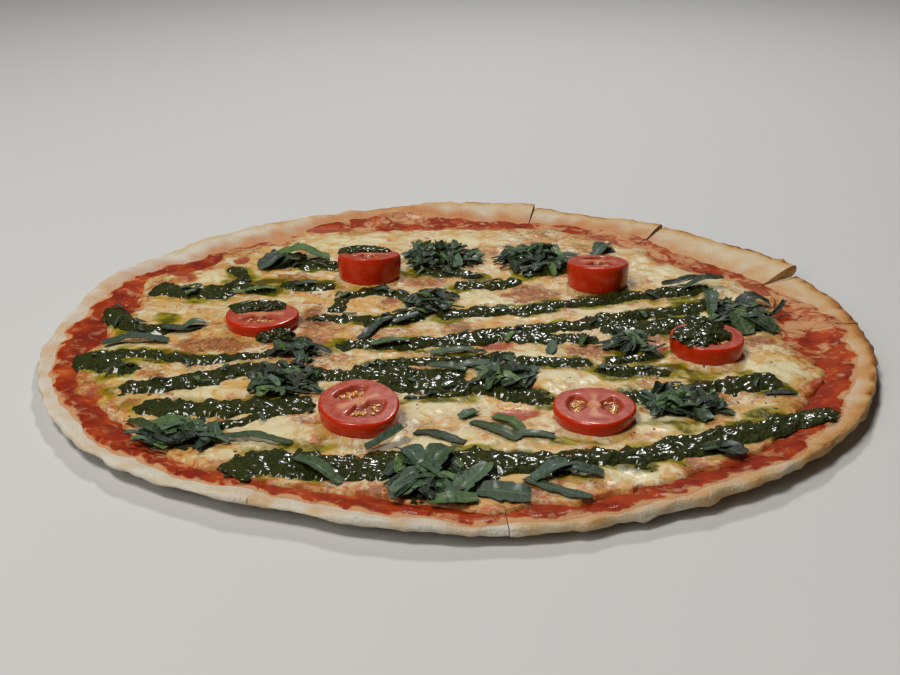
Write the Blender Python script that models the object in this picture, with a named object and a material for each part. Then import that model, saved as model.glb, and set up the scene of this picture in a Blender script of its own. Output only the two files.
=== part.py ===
# Thin-crust pizza, about thirty centimetres across, cut into slices that still lie together.
# On the crust lie red sauce and melted cheese, then bands of green herb paste, cherry tomato
# halves with their cut faces up, and shredded basil. Sizes below are in millimetres, and the
# meshes are made in metres, +Z up. The origin is under the middle, on the surface it lies on.

import math
import random

import bmesh
import bpy
from mathutils import Matrix, Vector, noise
from mathutils.bvhtree import BVHTree

MM = 0.001
MERGE_DISTANCE = 0.000001
FLAT_ANGLE = math.radians(1.0)
DROP_HEIGHT = 0.1

# Crust: a thin flat base whose edge curls up off the surface
BASE_THICKNESS = 2.6
CURL_WIDTH = 20.0
CREST_INSET = 1.8
CREST_ROUNDING = 0.6
LOWER_EDGE_INSET = 0.9
LOWER_EDGE_ROUNDING = 0.2
# Shares of the lower edge's lift, and how far in from the crust's edge they are reached
UNDER_CURL = ((5.0, 0.62), (11.0, 0.2), (18.0, 0.0))
SECTION_STEP = 5.4
CUT_WIDTH = 0.5
CUT_OPENS_FROM = 112.0

# Layers over the crust
LAYER_GAP = 0.35
SAUCE_THICKNESS = 0.8
SAUCE_EDGE_THICKNESS = 0.35
SAUCE_EDGE_ROUNDING = 4.0
CHEESE_THICKNESS = 1.9
CHEESE_EDGE_THICKNESS = 0.9
CHEESE_EDGE_ROUNDING = 8.0
CHEESE_RELIEF = 0.5
CHEESE_LUMP_SIZE = 15.0
PRESSED_RIM = 1.0
PRESSED_MARGIN = 5.0
TRIM_WIDTH = 0.35

# Every ten degrees from +X, anticlockwise from above: how far the crust, the sauce and the
# cheese reach from the middle
CRUST_REACH = (
    147.5, 148.5, 149, 148, 147, 147, 145, 146, 147, 147, 146.5, 146, 146, 146.5, 147, 148, 148.5, 148.5,
    149, 150, 150.5, 150.5, 150.5, 149.5, 147, 144, 145.5, 146.5, 147, 146, 147.5, 149, 150, 150, 149.5,
    148.5,
)
SAUCE_REACH = (
    142, 137, 133, 131, 129, 132, 133, 133, 131, 133, 139, 137, 134, 130, 134, 136, 141, 141,
    143, 145, 146, 146, 146, 144, 142, 140, 142, 143.5, 144, 143, 144, 145, 144, 143, 142, 142,
)
CHEESE_REACH = (
    118, 127, 126, 114, 112, 119, 121, 121, 116, 115, 115, 118, 129, 122, 128, 122, 134, 127,
    128, 132, 137, 136, 135, 134, 133, 133, 132, 136, 137, 136, 135, 136, 134, 129, 131, 123,
)

NEAR_RIGHT_CRESTS = (5.8, 5.8, 7.0, 7.4, 7.4, 7.4, 7.0, 6.6)
LEFT_CRESTS = (6.2, 6.0, 6.5, 5.4, 6.8, 5.2, 5.0, 5.6, 6.0, 6.2, 6.4, 6.8)

# Slices between the cuts that show: the name, the angles of both cuts, then the height of the
# crust's crest and of its lifted lower edge, spread evenly from the first cut to the second,
# and how far the edge stands back from each cut
SLICES = (
    ("near", -114.0, -85.0, (6.8, 6.6, 6.6, 5.8), (4.6, 4.4, 4.0, 3.2), (0.1, 0.2)),
    ("near_right", -85.0, -2.0, NEAR_RIGHT_CRESTS, (2.8, 2.6, 4.4, 4.6, 4.2, 3.4), (0.2, 0.1)),
    ("right", -2.0, 20.0, (7.0, 6.4, 5.2), (3.2, 3.0, 2.4), (0.1, 1.0)),
    ("far_right", 20.0, 50.0, (9.4, 7.4, 6.4, 6.6), (5.8, 3.8, 3.0, 3.2), (0.6, 1.6)),
    ("far", 50.0, 75.0, (7.4, 6.2, 6.4), (4.0, 3.0, 3.0), (1.6, 0.4)),
    ("far_left", 75.0, 114.0, (8.2, 7.6, 6.6, 6.0), (4.4, 4.0, 3.2, 2.8), (0.4, 0.1)),
    ("left", 114.0, 246.0, LEFT_CRESTS, (3.0, 2.8, 3.2, 2.8, 3.4, 4.0, 4.6), (0.1, 0.1)),
)

# Bands of herb paste: half width, height, then the points that the band runs through
PASTE_SINK = 0.6
PASTE_STEP = 9.5
PASTE_PROFILE = ((-1.0, 0.0), (-0.6, 0.75), (0.0, 1.0), (0.6, 0.75), (1.0, 0.0))
PASTE_BLUNT_END = 0.55
PASTE_UNEVENNESS = 0.22
PASTE_LUMP_SIZE = 9.0
PASTE_BANDS = (
    (7.0, 2.4, ((-60, -111), (-48, -112), (-30, -112), (-8, -111), (12, -111), (32, -110))),
    (5.6, 2.4, ((30, -109), (50, -107), (68, -101), (86, -92), (110, -80))),
    (5.6, 2.4, ((-97, -73), (-84, -75), (-66, -73), (-51, -74))),
    (2.6, 1.6, ((-73, -87), (-60, -80), (-50, -76))),
    (5.2, 2.4, ((-107, -60), (-95, -57), (-80, -49), (-60, -46), (-40, -49), (-20, -48), (-6, -52))),
    (5.8, 2.6, ((-128, -36), (-120, -41), (-114, -45))),
    (2.8, 1.8, ((-119, -33), (-105, -32), (-95, -36), (-80, -36), (-66, -32))),
    (3.8, 2.2, ((-130, 10), (-125, 1), (-118, -9), (-108, -10))),
    (5.6, 2.6, ((-116, 32), (-106, 28), (-95, 29))),
    (3.0, 2.0, ((-91, 54), (-87, 46), (-88, 37), (-76, 31))),
    (4.0, 2.2, ((-68, 61), (-52, 60))),
    (4.2, 2.2, ((-66, 36), (-53, 35))),
    (2.6, 1.6, ((-54, 1), (-45, 1), (-32, -1))),
    (2.8, 2.0, ((-46, 12), (-43, 24), (-31, 29), (-19, 22))),
    (4.2, 2.2, ((-31, -4), (-21, 2), (-10, 10))),
    (3.8, 2.2, ((-4, 4), (10, 7), (28, 10), (45, 16), (62, 22), (80, 27), (96, 31))),
    (4.0, 2.2, ((10, -14), (28, -9), (45, -5), (62, 1), (80, 7), (102, 17))),
    (4.6, 2.2, ((14, -16), (30, -17), (45, -19))),
    (4.4, 2.4, ((-38, -25), (-24, -24), (-9, -21), (7, -19))),
    (2.8, 2.0, ((-34, -44), (-18, -39), (0, -37), (16, -33))),
    (4.8, 2.4, ((-22, -55), (-10, -58), (6, -60), (18, -65), (26, -69))),
    (1.6, 1.2, ((-17, -67), (-8, -66), (3, -64))),
    (2.8, 1.8, ((24, -39), (34, -39), (44, -39))),
    (3.4, 2.2, ((51, -46), (60, -46), (69, -47))),
    (2.4, 1.6, ((53, -37), (61, -35), (69, -33))),
    (4.6, 2.4, ((56, -67), (68, -64), (80, -61), (92, -57), (103, -55))),
    (3.6, 2.2, ((2, 36), (12, 35), (23, 40))),
    (3.0, 2.0, ((-14, 53), (-4, 50), (8, 47))),
    (3.4, 2.0, ((30, 49), (44, 55))),
    (6.4, 2.4, ((60, -10), (72, -8), (86, -2), (100, -3))),
)

# Tomato halves: name, middle, width, depth, height, turn and slope of the cut face in degrees, and
# how far the paste on it lies from its middle, or None. The profile gives shares of the height and
# of the half width, and the seed chambers and the dab of paste are shares of the width and depth.
TOMATO_SIDES = 14
TOMATO_PROFILE = (
    (0.0, 0.93), (0.12, 0.965), (0.35, 0.985), (0.6, 1.0), (0.85, 0.995), (0.96, 0.975), (1.0, 0.94),
)
CHAMBER_DEPTH = 1.2
CHAMBER_PLACE = 0.19
CHAMBER_HALF_WIDTH = 0.15
CHAMBER_HALF_LENGTH = 0.27
DAB_HALF_WIDTH = 0.42
DAB_HALF_DEPTH = 0.2
DAB_HEIGHT = 2.0
DAB_RAISE = 0.3
TOMATOES = (
    ("tomato_near_left", (-31, -83), 25, 29, 6.3, 20, 5, None),
    ("tomato_near_right", (42, -82), 26, 27, 4.6, -8, 0, None),
    ("tomato_left", (-72, -6), 27, 25, 4.6, 5, 0, (-2, 6)),
    ("tomato_right", (87, -30.5), 25.5, 26, 6.4, 30, 0, (-4, 3)),
    ("tomato_far_left", (-35.5, 46.5), 25.5, 25, 9.6, 0, -9, (-3, 6)),
    ("tomato_far_right", (56, 37), 24.5, 25, 9.8, 0, -6.5, None),
)

# Heaps of shredded basil: name, middle, reach along X and Y, height, strips, main heading
LEAF_THICKNESS = 0.55
LEAF_CLEARANCE = 0.45
LEAF_STEP = 6.0
LEAF_CURL = 0.16
LEAF_WAVES = 5.0
LEAF_MARGIN = 0.6
LEAF_END_WIDTH = 0.45
LEAF_BELLY_START = 0.12
CORE_REACH = 0.5
CORE_HEIGHT = 0.35
# Ranges that each heap's strips are drawn from: how far out and how long, as shares of the
# heap's reach, how wide, and how high the middle and the end stand, as shares of its height
STRIP_OUT = (0.3, 0.55)
STRIP_LENGTH = (1.0, 1.3)
STRIP_WIDTH = (4.5, 7.5)
STRIP_MIDDLE = (0.1, 0.4)
STRIP_END = (0.1, 0.9)
STRIP_START = 0.3
STRIP_UNEVEN = 0.3
STRIP_TURN = 35.0
STRIP_BEND = 40.0
HEAPS = (
    ("basil_heap_far", (-6, 68), (18, 18), 8.0, 5, 60),
    ("basil_heap_far_right", (33, 65), (17, 18), 7.0, 5, 70),
    ("basil_heap_middle", (-9, 16), (10, 12), 5.0, 4, 100),
    ("basil_heap_right", (106, 2), (13, 14), 6.0, 4, 20),
    ("basil_heap_right_middle", (61, -24), (10, 9), 5.0, 4, 60),
    ("basil_heap_middle_right", (16, -51), (10, 14), 5.0, 4, 80),
    ("basil_heap_middle_left", (-57, -58), (13, 13), 6.0, 4, 120),
    ("basil_heap_near_right", (72, -74), (14, 11), 6.0, 5, 100),
    ("basil_heap_near", (-9, -123), (12, 14), 6.0, 6, 110),
    ("basil_heap_near_left", (-84, -95), (16, 8), 5.0, 5, 140),
    ("basil_heap_left", (-56, -31), (9, 9), 5.0, 4, 130),
)

# Single leaves and strips: name, middle, heading, length, width, sideways bend in degrees,
# height of the arch
LEAVES = (
    ("basil_leaf_far", (-67, 67), 5, 25, 9, 0, 4.5),
    ("basil_strip_far_right", (62, 78), 65, 17, 6, 20, 2.0),
    ("basil_strip_middle", (-31, -12), 60, 22, 3.2, -50, 1.0),
    ("basil_strip_left", (-115, -22), 10, 22, 6, -40, 1.0),
    ("basil_leaf_near", (12, -129), -8, 14, 9, 5, 0.6),
    ("basil_strip_near_right", (27, -127), -38, 21, 4, 10, 0.6),
    ("basil_strip_near_left", (-6, -95), -28, 16, 4, 10, 0.6),
    ("basil_strip_near", (11, -91), -42, 17, 5, 10, 0.6),
    ("basil_chip_near", (3, -80), 40, 6, 4, 0, 0.3),
    ("basil_leaf_near_right", (80, -106), -70, 9, 7, 0, 0.6),
    ("basil_strip_right", (33, -27), 80, 11, 3.2, 10, 0.8),
    ("basil_chip_right", (105, -64), 15, 9, 3, 0, 0.3),
    ("basil_strip_far_left", (-80, 29), 5, 16, 2.6, 20, 0.6),
    ("basil_chip_left", (-97, -5), 60, 8, 5, 10, 0.5),
)

CRUST = ("baked dough", (0.79, 0.62, 0.40), 0.75)
SAUCE = ("tomato sauce", (0.48, 0.06, 0.02), 0.30)
CHEESE = ("melted cheese", (0.80, 0.66, 0.33), 0.35)
TOMATO = ("cherry tomato", (0.58, 0.05, 0.02), 0.20)
BASIL = ("basil leaf", (0.07, 0.13, 0.06), 0.50)


def clear_scene():
    for obj in list(bpy.data.objects):
        bpy.data.objects.remove(obj)


def make_material(look):
    """A plain material from a name, a linear colour and a roughness."""
    name, colour, roughness = look
    material = bpy.data.materials.new(name)
    material.use_nodes = True
    shader = material.node_tree.nodes["Principled BSDF"]
    shader.inputs["Base Color"].default_value = (*colour, 1.0)
    shader.inputs["Roughness"].default_value = roughness
    shader.inputs["Metallic"].default_value = 0.0
    return material


def smooth_step(share):
    share = min(max(share, 0.0), 1.0)
    return share * share * (3.0 - 2.0 * share)


def curve_through(before, first, second, after, share):
    """Catmull-Rom value between the first and the second of four numbers or vectors."""
    bend = (after - second * 3.0 + first * 3.0 - before) * share
    slope = (before * 2.0 - first * 5.0 + second * 4.0 - after + bend) * share
    return first + (second - before + slope) * (0.5 * share)


def around(values, angle):
    """Value at an angle in degrees, from values spread evenly round the full turn."""
    count = len(values)
    place = (angle % 360.0) / 360.0 * count
    index = int(place)
    picked = [values[(index + offset) % count] for offset in (-1, 0, 1, 2)]
    return curve_through(*picked, place - index)


def along(values, share):
    """Value at a share from 0 to 1 of a list that starts and ends where its ends are."""
    last = len(values) - 1
    place = min(max(share, 0.0), 1.0) * last
    index = min(int(place), last - 1)
    picked = [values[min(max(index + offset, 0), last)] for offset in (-1, 0, 1, 2)]
    return curve_through(*picked, place - index)


def loft(name, sections, upper, material):
    """A closed solid through closed sections with as many points each. The first points, as
    many as upper, run along the upper face, and both faces are split into triangles alike."""
    mesh = bmesh.new()
    rings = [[mesh.verts.new(Vector(point) * MM) for point in section] for section in sections]
    for ring, following in zip(rings, rings[1:]):
        for index in range(len(ring)):
            after = (index + 1) % len(ring)
            corners = (ring[index], ring[after], following[after], following[index])
            if index >= upper:
                corners = corners[1:] + corners[:1]
            mesh.faces.new((corners[0], corners[1], corners[2]))
            mesh.faces.new((corners[0], corners[2], corners[3]))
    mesh.faces.new(reversed(rings[0]))
    mesh.faces.new(rings[-1])
    bmesh.ops.remove_doubles(mesh, verts=mesh.verts, dist=MERGE_DISTANCE)
    return add_object(name, mesh, material)


def add_object(name, mesh, material):
    """Turns a bmesh into an object of triangles that face out, smooth but for its sharp edges."""
    bmesh.ops.triangulate(mesh, faces=mesh.faces)
    bmesh.ops.recalc_face_normals(mesh, faces=mesh.faces)
    data = bpy.data.meshes.new(name)
    mesh.to_mesh(data)
    mesh.free()
    data.materials.append(material)
    obj = bpy.data.objects.new(name, data)
    bpy.data.collections["pizza"].objects.link(obj)
    return obj


def apply_boolean(target, operation, others, solver="EXACT"):
    """Joins or cuts the target with the others in one Boolean, applies it and removes them."""
    group = bpy.data.collections.new("operands")
    bpy.context.scene.collection.children.link(group)
    for other in others:
        group.objects.link(other)
    modifier = target.modifiers.new("combine", "BOOLEAN")
    modifier.operation = operation
    modifier.solver = solver
    modifier.operand_type = "COLLECTION"
    modifier.collection = group
    bpy.context.view_layer.update()
    graph = bpy.context.evaluated_depsgraph_get()
    result = bpy.data.meshes.new_from_object(target.evaluated_get(graph))
    target.modifiers.clear()
    target.data = result
    for other in others:
        bpy.data.objects.remove(other)
    bpy.data.collections.remove(group)


def main_body(mesh):
    """The largest set of faces that hang together."""
    left = set(mesh.faces)
    bodies = []
    while left:
        body = set()
        waiting = [left.pop()]
        while waiting:
            face = waiting.pop()
            body.add(face)
            beside = {other for edge in face.edges for other in edge.link_faces} & left
            left -= beside
            waiting += beside
        bodies.append(body)
    return max(bodies, key=len)


def tidy_body(obj):
    """Joins the flat faces that a Boolean split, and drops the loose scraps it left."""
    mesh = bmesh.new()
    mesh.from_mesh(obj.data)
    bmesh.ops.remove_doubles(mesh, verts=mesh.verts, dist=MERGE_DISTANCE)
    body = main_body(mesh)
    scraps = [face for face in mesh.faces if face not in body]
    bmesh.ops.delete(mesh, geom=scraps, context="FACES")
    bmesh.ops.dissolve_limit(mesh, angle_limit=FLAT_ANGLE, verts=mesh.verts, edges=mesh.edges)
    bmesh.ops.triangulate(mesh, faces=mesh.faces)
    mesh.to_mesh(obj.data)
    mesh.free()


# Heights of the layers


def crust_top(cut, angle, radius):
    """Height of the crust's upper face in one slice."""
    reach = around(CRUST_REACH, angle)
    crest = along(cut[3], (angle - cut[1]) / (cut[2] - cut[1]))
    rise = smooth_step((radius - reach + CURL_WIDTH) / (CURL_WIDTH - CREST_INSET))
    return BASE_THICKNESS + (crest - BASE_THICKNESS) * rise


def sauce_top(cut, angle, radius):
    inset = around(SAUCE_REACH, angle) - radius
    middle = SAUCE_THICKNESS - SAUCE_EDGE_THICKNESS
    thickness = SAUCE_EDGE_THICKNESS + middle * smooth_step(inset / SAUCE_EDGE_ROUNDING)
    return crust_top(cut, angle, radius) + LAYER_GAP + thickness


def pressed_flat(x, y):
    """1 under the tomato halves, where the cheese is pressed flat, falling to 0 beside them."""
    nearest = min(math.hypot(x - row[1][0], y - row[1][1]) - 0.5 * row[2] for row in TOMATOES)
    return 1.0 - smooth_step((nearest - PRESSED_RIM) / PRESSED_MARGIN)


def cheese_top(cut, angle, radius):
    inset = around(CHEESE_REACH, angle) - radius
    middle = CHEESE_THICKNESS - CHEESE_EDGE_THICKNESS
    thickness = CHEESE_EDGE_THICKNESS + middle * smooth_step(inset / CHEESE_EDGE_ROUNDING)
    x = radius * math.cos(math.radians(angle))
    y = radius * math.sin(math.radians(angle))
    lumps = noise.noise(Vector((x, y, 0.0)) / CHEESE_LUMP_SIZE) * CHEESE_RELIEF
    inner = smooth_step(inset / CHEESE_EDGE_ROUNDING) * (1.0 - pressed_flat(x, y))
    return sauce_top(cut, angle, radius) + LAYER_GAP + thickness + lumps * inner


def slice_at(x, y):
    """The slice row that a place belongs to, and its angle as that row counts it."""
    angle = math.degrees(math.atan2(y, x))
    for cut in SLICES:
        for turn in (angle, angle + 360.0):
            if cut[1] <= turn < cut[2]:
                return cut, turn
    return SLICES[0], angle


def cheese_height(x, y):
    cut, angle = slice_at(x, y)
    return cheese_top(cut, angle, math.hypot(x, y))


# Slices and their layers


def slice_angles(cut):
    """Angles of a slice's sections, from its first cut to its second."""
    count = max(3, round((cut[2] - cut[1]) / SECTION_STEP))
    return [cut[1] + (cut[2] - cut[1]) * step / count for step in range(count + 1)]


def shift_of(cut, width):
    """How far a slice is moved out along its middle, so that the cuts beside it stand open."""
    middle = math.radians(0.5 * (cut[1] + cut[2]))
    half = math.radians(0.5 * (cut[2] - cut[1]))
    distance = 0.5 * width / math.sin(half)
    return Vector((distance * math.cos(middle), distance * math.sin(middle), 0.0))


def radial_loft(name, cut, width, profile, upper, material):
    """A slice's solid through the sections that profile(angle) gives as radius and height. The
    first and last sections stand back from their cuts towards the edge of the crust."""
    shift = shift_of(cut, width)
    angles = slice_angles(cut)
    sections = []
    for angle in angles:
        back = {angles[0]: cut[5][0], angles[-1]: -cut[5][1]}.get(angle, 0.0)
        opened = around(CRUST_REACH, angle) - CUT_OPENS_FROM
        section = []
        for radius, height in profile(angle):
            stand_back = back * max(0.0, radius - CUT_OPENS_FROM) / opened
            turn = math.radians(angle) + stand_back / max(radius, 1.0)
            section.append(Vector((radius * math.cos(turn), radius * math.sin(turn), height)) + shift)
        sections.append(section)
    return loft(name, sections, upper, material)


def make_crust(cut, material):
    rise_stations = (0.0, 0.25, 0.5, 0.75, 1.0)

    def profile(angle):
        share = (angle - cut[1]) / (cut[2] - cut[1])
        reach = around(CRUST_REACH, angle)
        crest = along(cut[3], share)
        lift = along(cut[4], share)
        slope = [reach - CURL_WIDTH + (CURL_WIDTH - CREST_INSET) * station for station in rise_stations]
        points = [(0.0, BASE_THICKNESS)]
        points += [(radius, crust_top(cut, angle, radius)) for radius in slope]
        points += [(reach - CREST_ROUNDING, crest - CREST_ROUNDING), (reach, 0.5 * (crest + lift))]
        points += [(reach - LOWER_EDGE_INSET, lift + LOWER_EDGE_ROUNDING)]
        points += [(reach - inset, portion * lift) for inset, portion in UNDER_CURL]
        return points + [(0.0, 0.0)]

    upper = len(rise_stations) + 2
    return radial_loft("crust_" + cut[0], cut, CUT_WIDTH, profile, upper, material)


def make_sauce(cut, material):
    stations = (0.0, 0.86, 0.91, 0.955, 1.0)

    def profile(angle):
        reach = around(SAUCE_REACH, angle)
        top = [(reach * station, sauce_top(cut, angle, reach * station)) for station in stations]
        under = [
            (reach * station, crust_top(cut, angle, reach * station) + LAYER_GAP)
            for station in reversed(stations)
        ]
        return top + under

    return radial_loft("sauce_" + cut[0], cut, CUT_WIDTH, profile, len(stations), material)


def make_cheese(cut, material):
    top_stations = (0.0, 0.16, 0.33, 0.49, 0.64, 0.77, 0.88, 0.95, 0.985)
    under_stations = (1.0, 0.95, 0.9, 0.0)

    def profile(angle):
        reach = around(CHEESE_REACH, angle)
        top = [(reach * station, cheese_top(cut, angle, reach * station)) for station in top_stations]
        edge = sauce_top(cut, angle, reach) + LAYER_GAP
        side = [(reach, edge + 0.5 * CHEESE_EDGE_THICKNESS)]
        under = [
            (reach * station, sauce_top(cut, angle, reach * station) + LAYER_GAP)
            for station in under_stations
        ]
        return top + side + under

    return radial_loft("cheese_" + cut[0], cut, CUT_WIDTH, profile, len(top_stations), material)


def make_wedge(cut, material):
    """A tall block over a slice, which trims the cheese and what lies on it at the cuts."""
    reach = 170.0
    floor, ceiling = -5.0, 40.0

    def profile(_angle):
        return [(0.0, ceiling), (reach, ceiling), (reach, floor), (0.0, floor)]

    return radial_loft("wedge", cut, TRIM_WIDTH, profile, 2, material)


# Herb paste


def route_points(points, spacing):
    """Points about as far apart as spacing on a smooth curve through the given ones."""
    points = [Vector((x, y, 0.0)) for x, y in points]
    length = sum((second - first).length for first, second in zip(points, points[1:]))
    count = max(3, round(length / spacing))
    return [along(points, step / count) for step in range(count + 1)]


def make_paste(half_width, height, points, number, material):
    """A low rounded band that lies on the cheese, sunk in a little, with blunt ends."""
    line = route_points(points, PASTE_STEP)
    sections = []
    for index, place in enumerate(line):
        ahead = line[min(index + 1, len(line) - 1)] - line[max(index - 1, 0)]
        side = Vector((-ahead.y, ahead.x, 0.0)).normalized()
        end = PASTE_BLUNT_END if index in (0, len(line) - 1) else 1.0
        spot = Vector((place.x, place.y, number * PASTE_LUMP_SIZE)) / PASTE_LUMP_SIZE
        size = end * (1.0 + PASTE_UNEVENNESS * noise.noise(spot))
        section = []
        for across, up in PASTE_PROFILE:
            spot = place + side * (across * half_width * size)
            foot = cheese_height(spot.x, spot.y) - PASTE_SINK
            section.append((spot.x, spot.y, foot + (height * size + PASTE_SINK) * up))
        sections.append(section)
    return loft("paste", sections, len(PASTE_PROFILE) - 1, material)


# Surface that the toppings lie on


def surface_tree(objects):
    """One search tree over the triangles of what has been laid so far, in metres."""
    points, faces = [], []
    for obj in objects:
        start = len(points)
        points += [vertex.co.copy() for vertex in obj.data.vertices]
        faces += [[start + index for index in polygon.vertices] for polygon in obj.data.polygons]
    return BVHTree.FromPolygons(points, faces)


def height_below(tree, x, y, reach):
    """The highest surface within reach of a place, in millimetres."""
    ring = [(0.0, 0.0)]
    ring += [(math.cos(math.radians(turn)), math.sin(math.radians(turn))) for turn in range(0, 360, 45)]
    highest = 0.0
    for across, away in ring:
        start = Vector(((x + across * reach) * MM, (y + away * reach) * MM, DROP_HEIGHT))
        hit = tree.ray_cast(start, Vector((0.0, 0.0, -1.0)))[0]
        if hit is not None:
            highest = max(highest, hit.z / MM)
    return highest


# Tomato halves


def place_on_fruit(mesh, row, level):
    """Turns what was made at the origin, slopes it to the cut face, and moves it to its place."""
    bmesh.ops.rotate(mesh, matrix=Matrix.Rotation(math.radians(row[5]), 3, "Z"), verts=mesh.verts)
    slope = math.tan(math.radians(row[6])) / (row[4] * MM)
    for vertex in mesh.verts:
        vertex.co.z *= 1.0 + slope * vertex.co.y
    bmesh.ops.translate(mesh, vec=Vector((*row[1], level)) * MM, verts=mesh.verts)


def make_blob(row, level, middle, radii, sides, material):
    """An egg shape in a tomato half's own frame, at a height over the middle of its foot."""
    mesh = bmesh.new()
    bmesh.ops.create_uvsphere(mesh, u_segments=sides, v_segments=sides // 2, radius=MM)
    bmesh.ops.scale(mesh, vec=radii, verts=mesh.verts)
    bmesh.ops.translate(mesh, vec=Vector(middle) * MM, verts=mesh.verts)
    place_on_fruit(mesh, row, level)
    return add_object("blob", mesh, material)


def resting_level(mesh, tree):
    """How far a body made at the origin goes up to lie just clear of what is below it."""
    points = [vertex.co / MM for vertex in mesh.verts]
    points += [face.calc_center_median() / MM for face in mesh.faces]
    return LAYER_GAP + max(height_below(tree, point.x, point.y, 0.0) - point.z for point in points)


def make_tomato(row, tree, material):
    """A tomato half on its round side, with two shallow seed chambers in the cut face."""
    name, _place, width, depth, height, _turn, _slope, paste = row
    turns = [2.0 * math.pi * side / TOMATO_SIDES for side in range(TOMATO_SIDES)]
    sections = []
    for up, out in TOMATO_PROFILE:
        across, away = 0.5 * width * out, 0.5 * depth * out
        sections.append([(across * math.cos(turn), away * math.sin(turn), height * up) for turn in turns])
    half = loft(name, sections, TOMATO_SIDES, material)
    mesh = bmesh.new()
    mesh.from_mesh(half.data)
    place_on_fruit(mesh, row, 0.0)
    level = resting_level(mesh, tree)
    bmesh.ops.translate(mesh, vec=(0.0, 0.0, level * MM), verts=mesh.verts)
    mesh.to_mesh(half.data)
    mesh.free()
    chambers = []
    for side in (-1.0, 1.0):
        middle = (side * CHAMBER_PLACE * width, 0.0, height)
        radii = (CHAMBER_HALF_WIDTH * width, CHAMBER_HALF_LENGTH * depth, CHAMBER_DEPTH)
        chambers.append(make_blob(row, level, middle, radii, 8, material))
    apply_boolean(half, "DIFFERENCE", chambers, "MANIFOLD")
    if paste is not None:
        middle = (paste[0], paste[1], height + DAB_RAISE)
        radii = (DAB_HALF_WIDTH * width, DAB_HALF_DEPTH * depth, DAB_HEIGHT)
        apply_boolean(half, "UNION", [make_blob(row, level, middle, radii, 10, material)], "MANIFOLD")
    tidy_body(half)
    return half


# Basil


def make_leaf(name, place, heading, length, width, bend, rise, folded, tree, material):
    """A thin strip of leaf that follows what it lies on. rise gives how far its start, its
    middle and its end stand above that, bend turns it from its start to its end, and a folded
    leaf has a rib along its middle."""
    steps = max(3, round(length / LEAF_STEP))
    turn = math.radians(heading - 0.5 * bend)
    line = [Vector((0.0, 0.0, 0.0))]
    turns = [turn]
    for _index in range(steps):
        turn += math.radians(bend) / steps
        turns.append(turn)
        line.append(line[-1] + Vector((math.cos(turn), math.sin(turn), 0.0)) * (length / steps))
    move = Vector((place[0], place[1], 0.0)) - sum(line, Vector()) / len(line)
    line = [point + move for point in line]
    floors = [height_below(tree, point.x, point.y, 0.5 * width + LEAF_MARGIN) for point in line]
    sections = []
    for index, (point, turn) in enumerate(zip(line, turns)):
        share = index / steps
        lower = max(floors[max(index - 1, 0):index + 2]) + LEAF_CLEARANCE + along(rise, share)
        side = Vector((-math.sin(turn), math.cos(turn), 0.0))
        belly = math.sin(math.pi * (LEAF_BELLY_START + (1.0 - 2.0 * LEAF_BELLY_START) * share))
        half = 0.5 * width * (LEAF_END_WIDTH + (1.0 - LEAF_END_WIDTH) * belly)
        curl = LEAF_CURL * width * abs(math.sin(LEAF_WAVES * share + heading))
        across = [(half, curl), (0.0, 0.0), (-half, curl)] if folded else [(half, curl), (-half, 0.0)]
        top = [point + side * out + Vector((0.0, 0.0, lower + up + LEAF_THICKNESS)) for out, up in across]
        under = [point + side * out + Vector((0.0, 0.0, lower + up)) for out, up in reversed(across)]
        sections.append(top + under)
    return loft(name, sections, len(across), material)


def make_heap(row, tree, material):
    """A heap of crossing strips, fused over a small core that carries them."""
    name, (x, y), (reach_x, reach_y), height, strips, heading = row
    draw = random.Random(name)
    mesh = bmesh.new()
    bmesh.ops.create_icosphere(mesh, subdivisions=1, radius=MM)
    radii = (CORE_REACH * reach_x, CORE_REACH * reach_y, CORE_HEIGHT * height)
    bmesh.ops.scale(mesh, vec=radii, verts=mesh.verts)
    bmesh.ops.translate(mesh, vec=(x * MM, y * MM, 0.0), verts=mesh.verts)
    bmesh.ops.translate(mesh, vec=(0.0, 0.0, resting_level(mesh, tree) * MM), verts=mesh.verts)
    core = add_object(name, mesh, material)
    leaves = []
    for number in range(strips):
        turn = 2.0 * math.pi * (number + draw.uniform(-STRIP_UNEVEN, STRIP_UNEVEN)) / strips
        out = draw.uniform(*STRIP_OUT)
        place = (x + out * reach_x * math.cos(turn), y + out * reach_y * math.sin(turn))
        length = draw.uniform(*STRIP_LENGTH) * max(reach_x, reach_y)
        width = draw.uniform(*STRIP_WIDTH)
        low = draw.uniform(*STRIP_MIDDLE) * height
        rise = (STRIP_START * low, low, draw.uniform(*STRIP_END) * height)
        pointing = 0.5 * math.degrees(turn) + heading + draw.uniform(-STRIP_TURN, STRIP_TURN)
        bend = draw.uniform(-STRIP_BEND, STRIP_BEND)
        leaves.append(make_leaf("strip", place, pointing, length, width, bend, rise, False, tree, material))
    apply_boolean(core, "UNION", leaves)
    tidy_body(core)


def make_slice(cut, crust, sauce, cheese):
    """The crust, the sauce and the cheese of one slice, with the paste fused to the cheese."""
    layer = make_cheese(cut, cheese)
    bands = [make_paste(*band, number, cheese) for number, band in enumerate(PASTE_BANDS)]
    apply_boolean(layer, "UNION", bands, "MANIFOLD")
    apply_boolean(layer, "INTERSECT", [make_wedge(cut, cheese)], "MANIFOLD")
    tidy_body(layer)
    return [make_crust(cut, crust), make_sauce(cut, sauce), layer]


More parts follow.
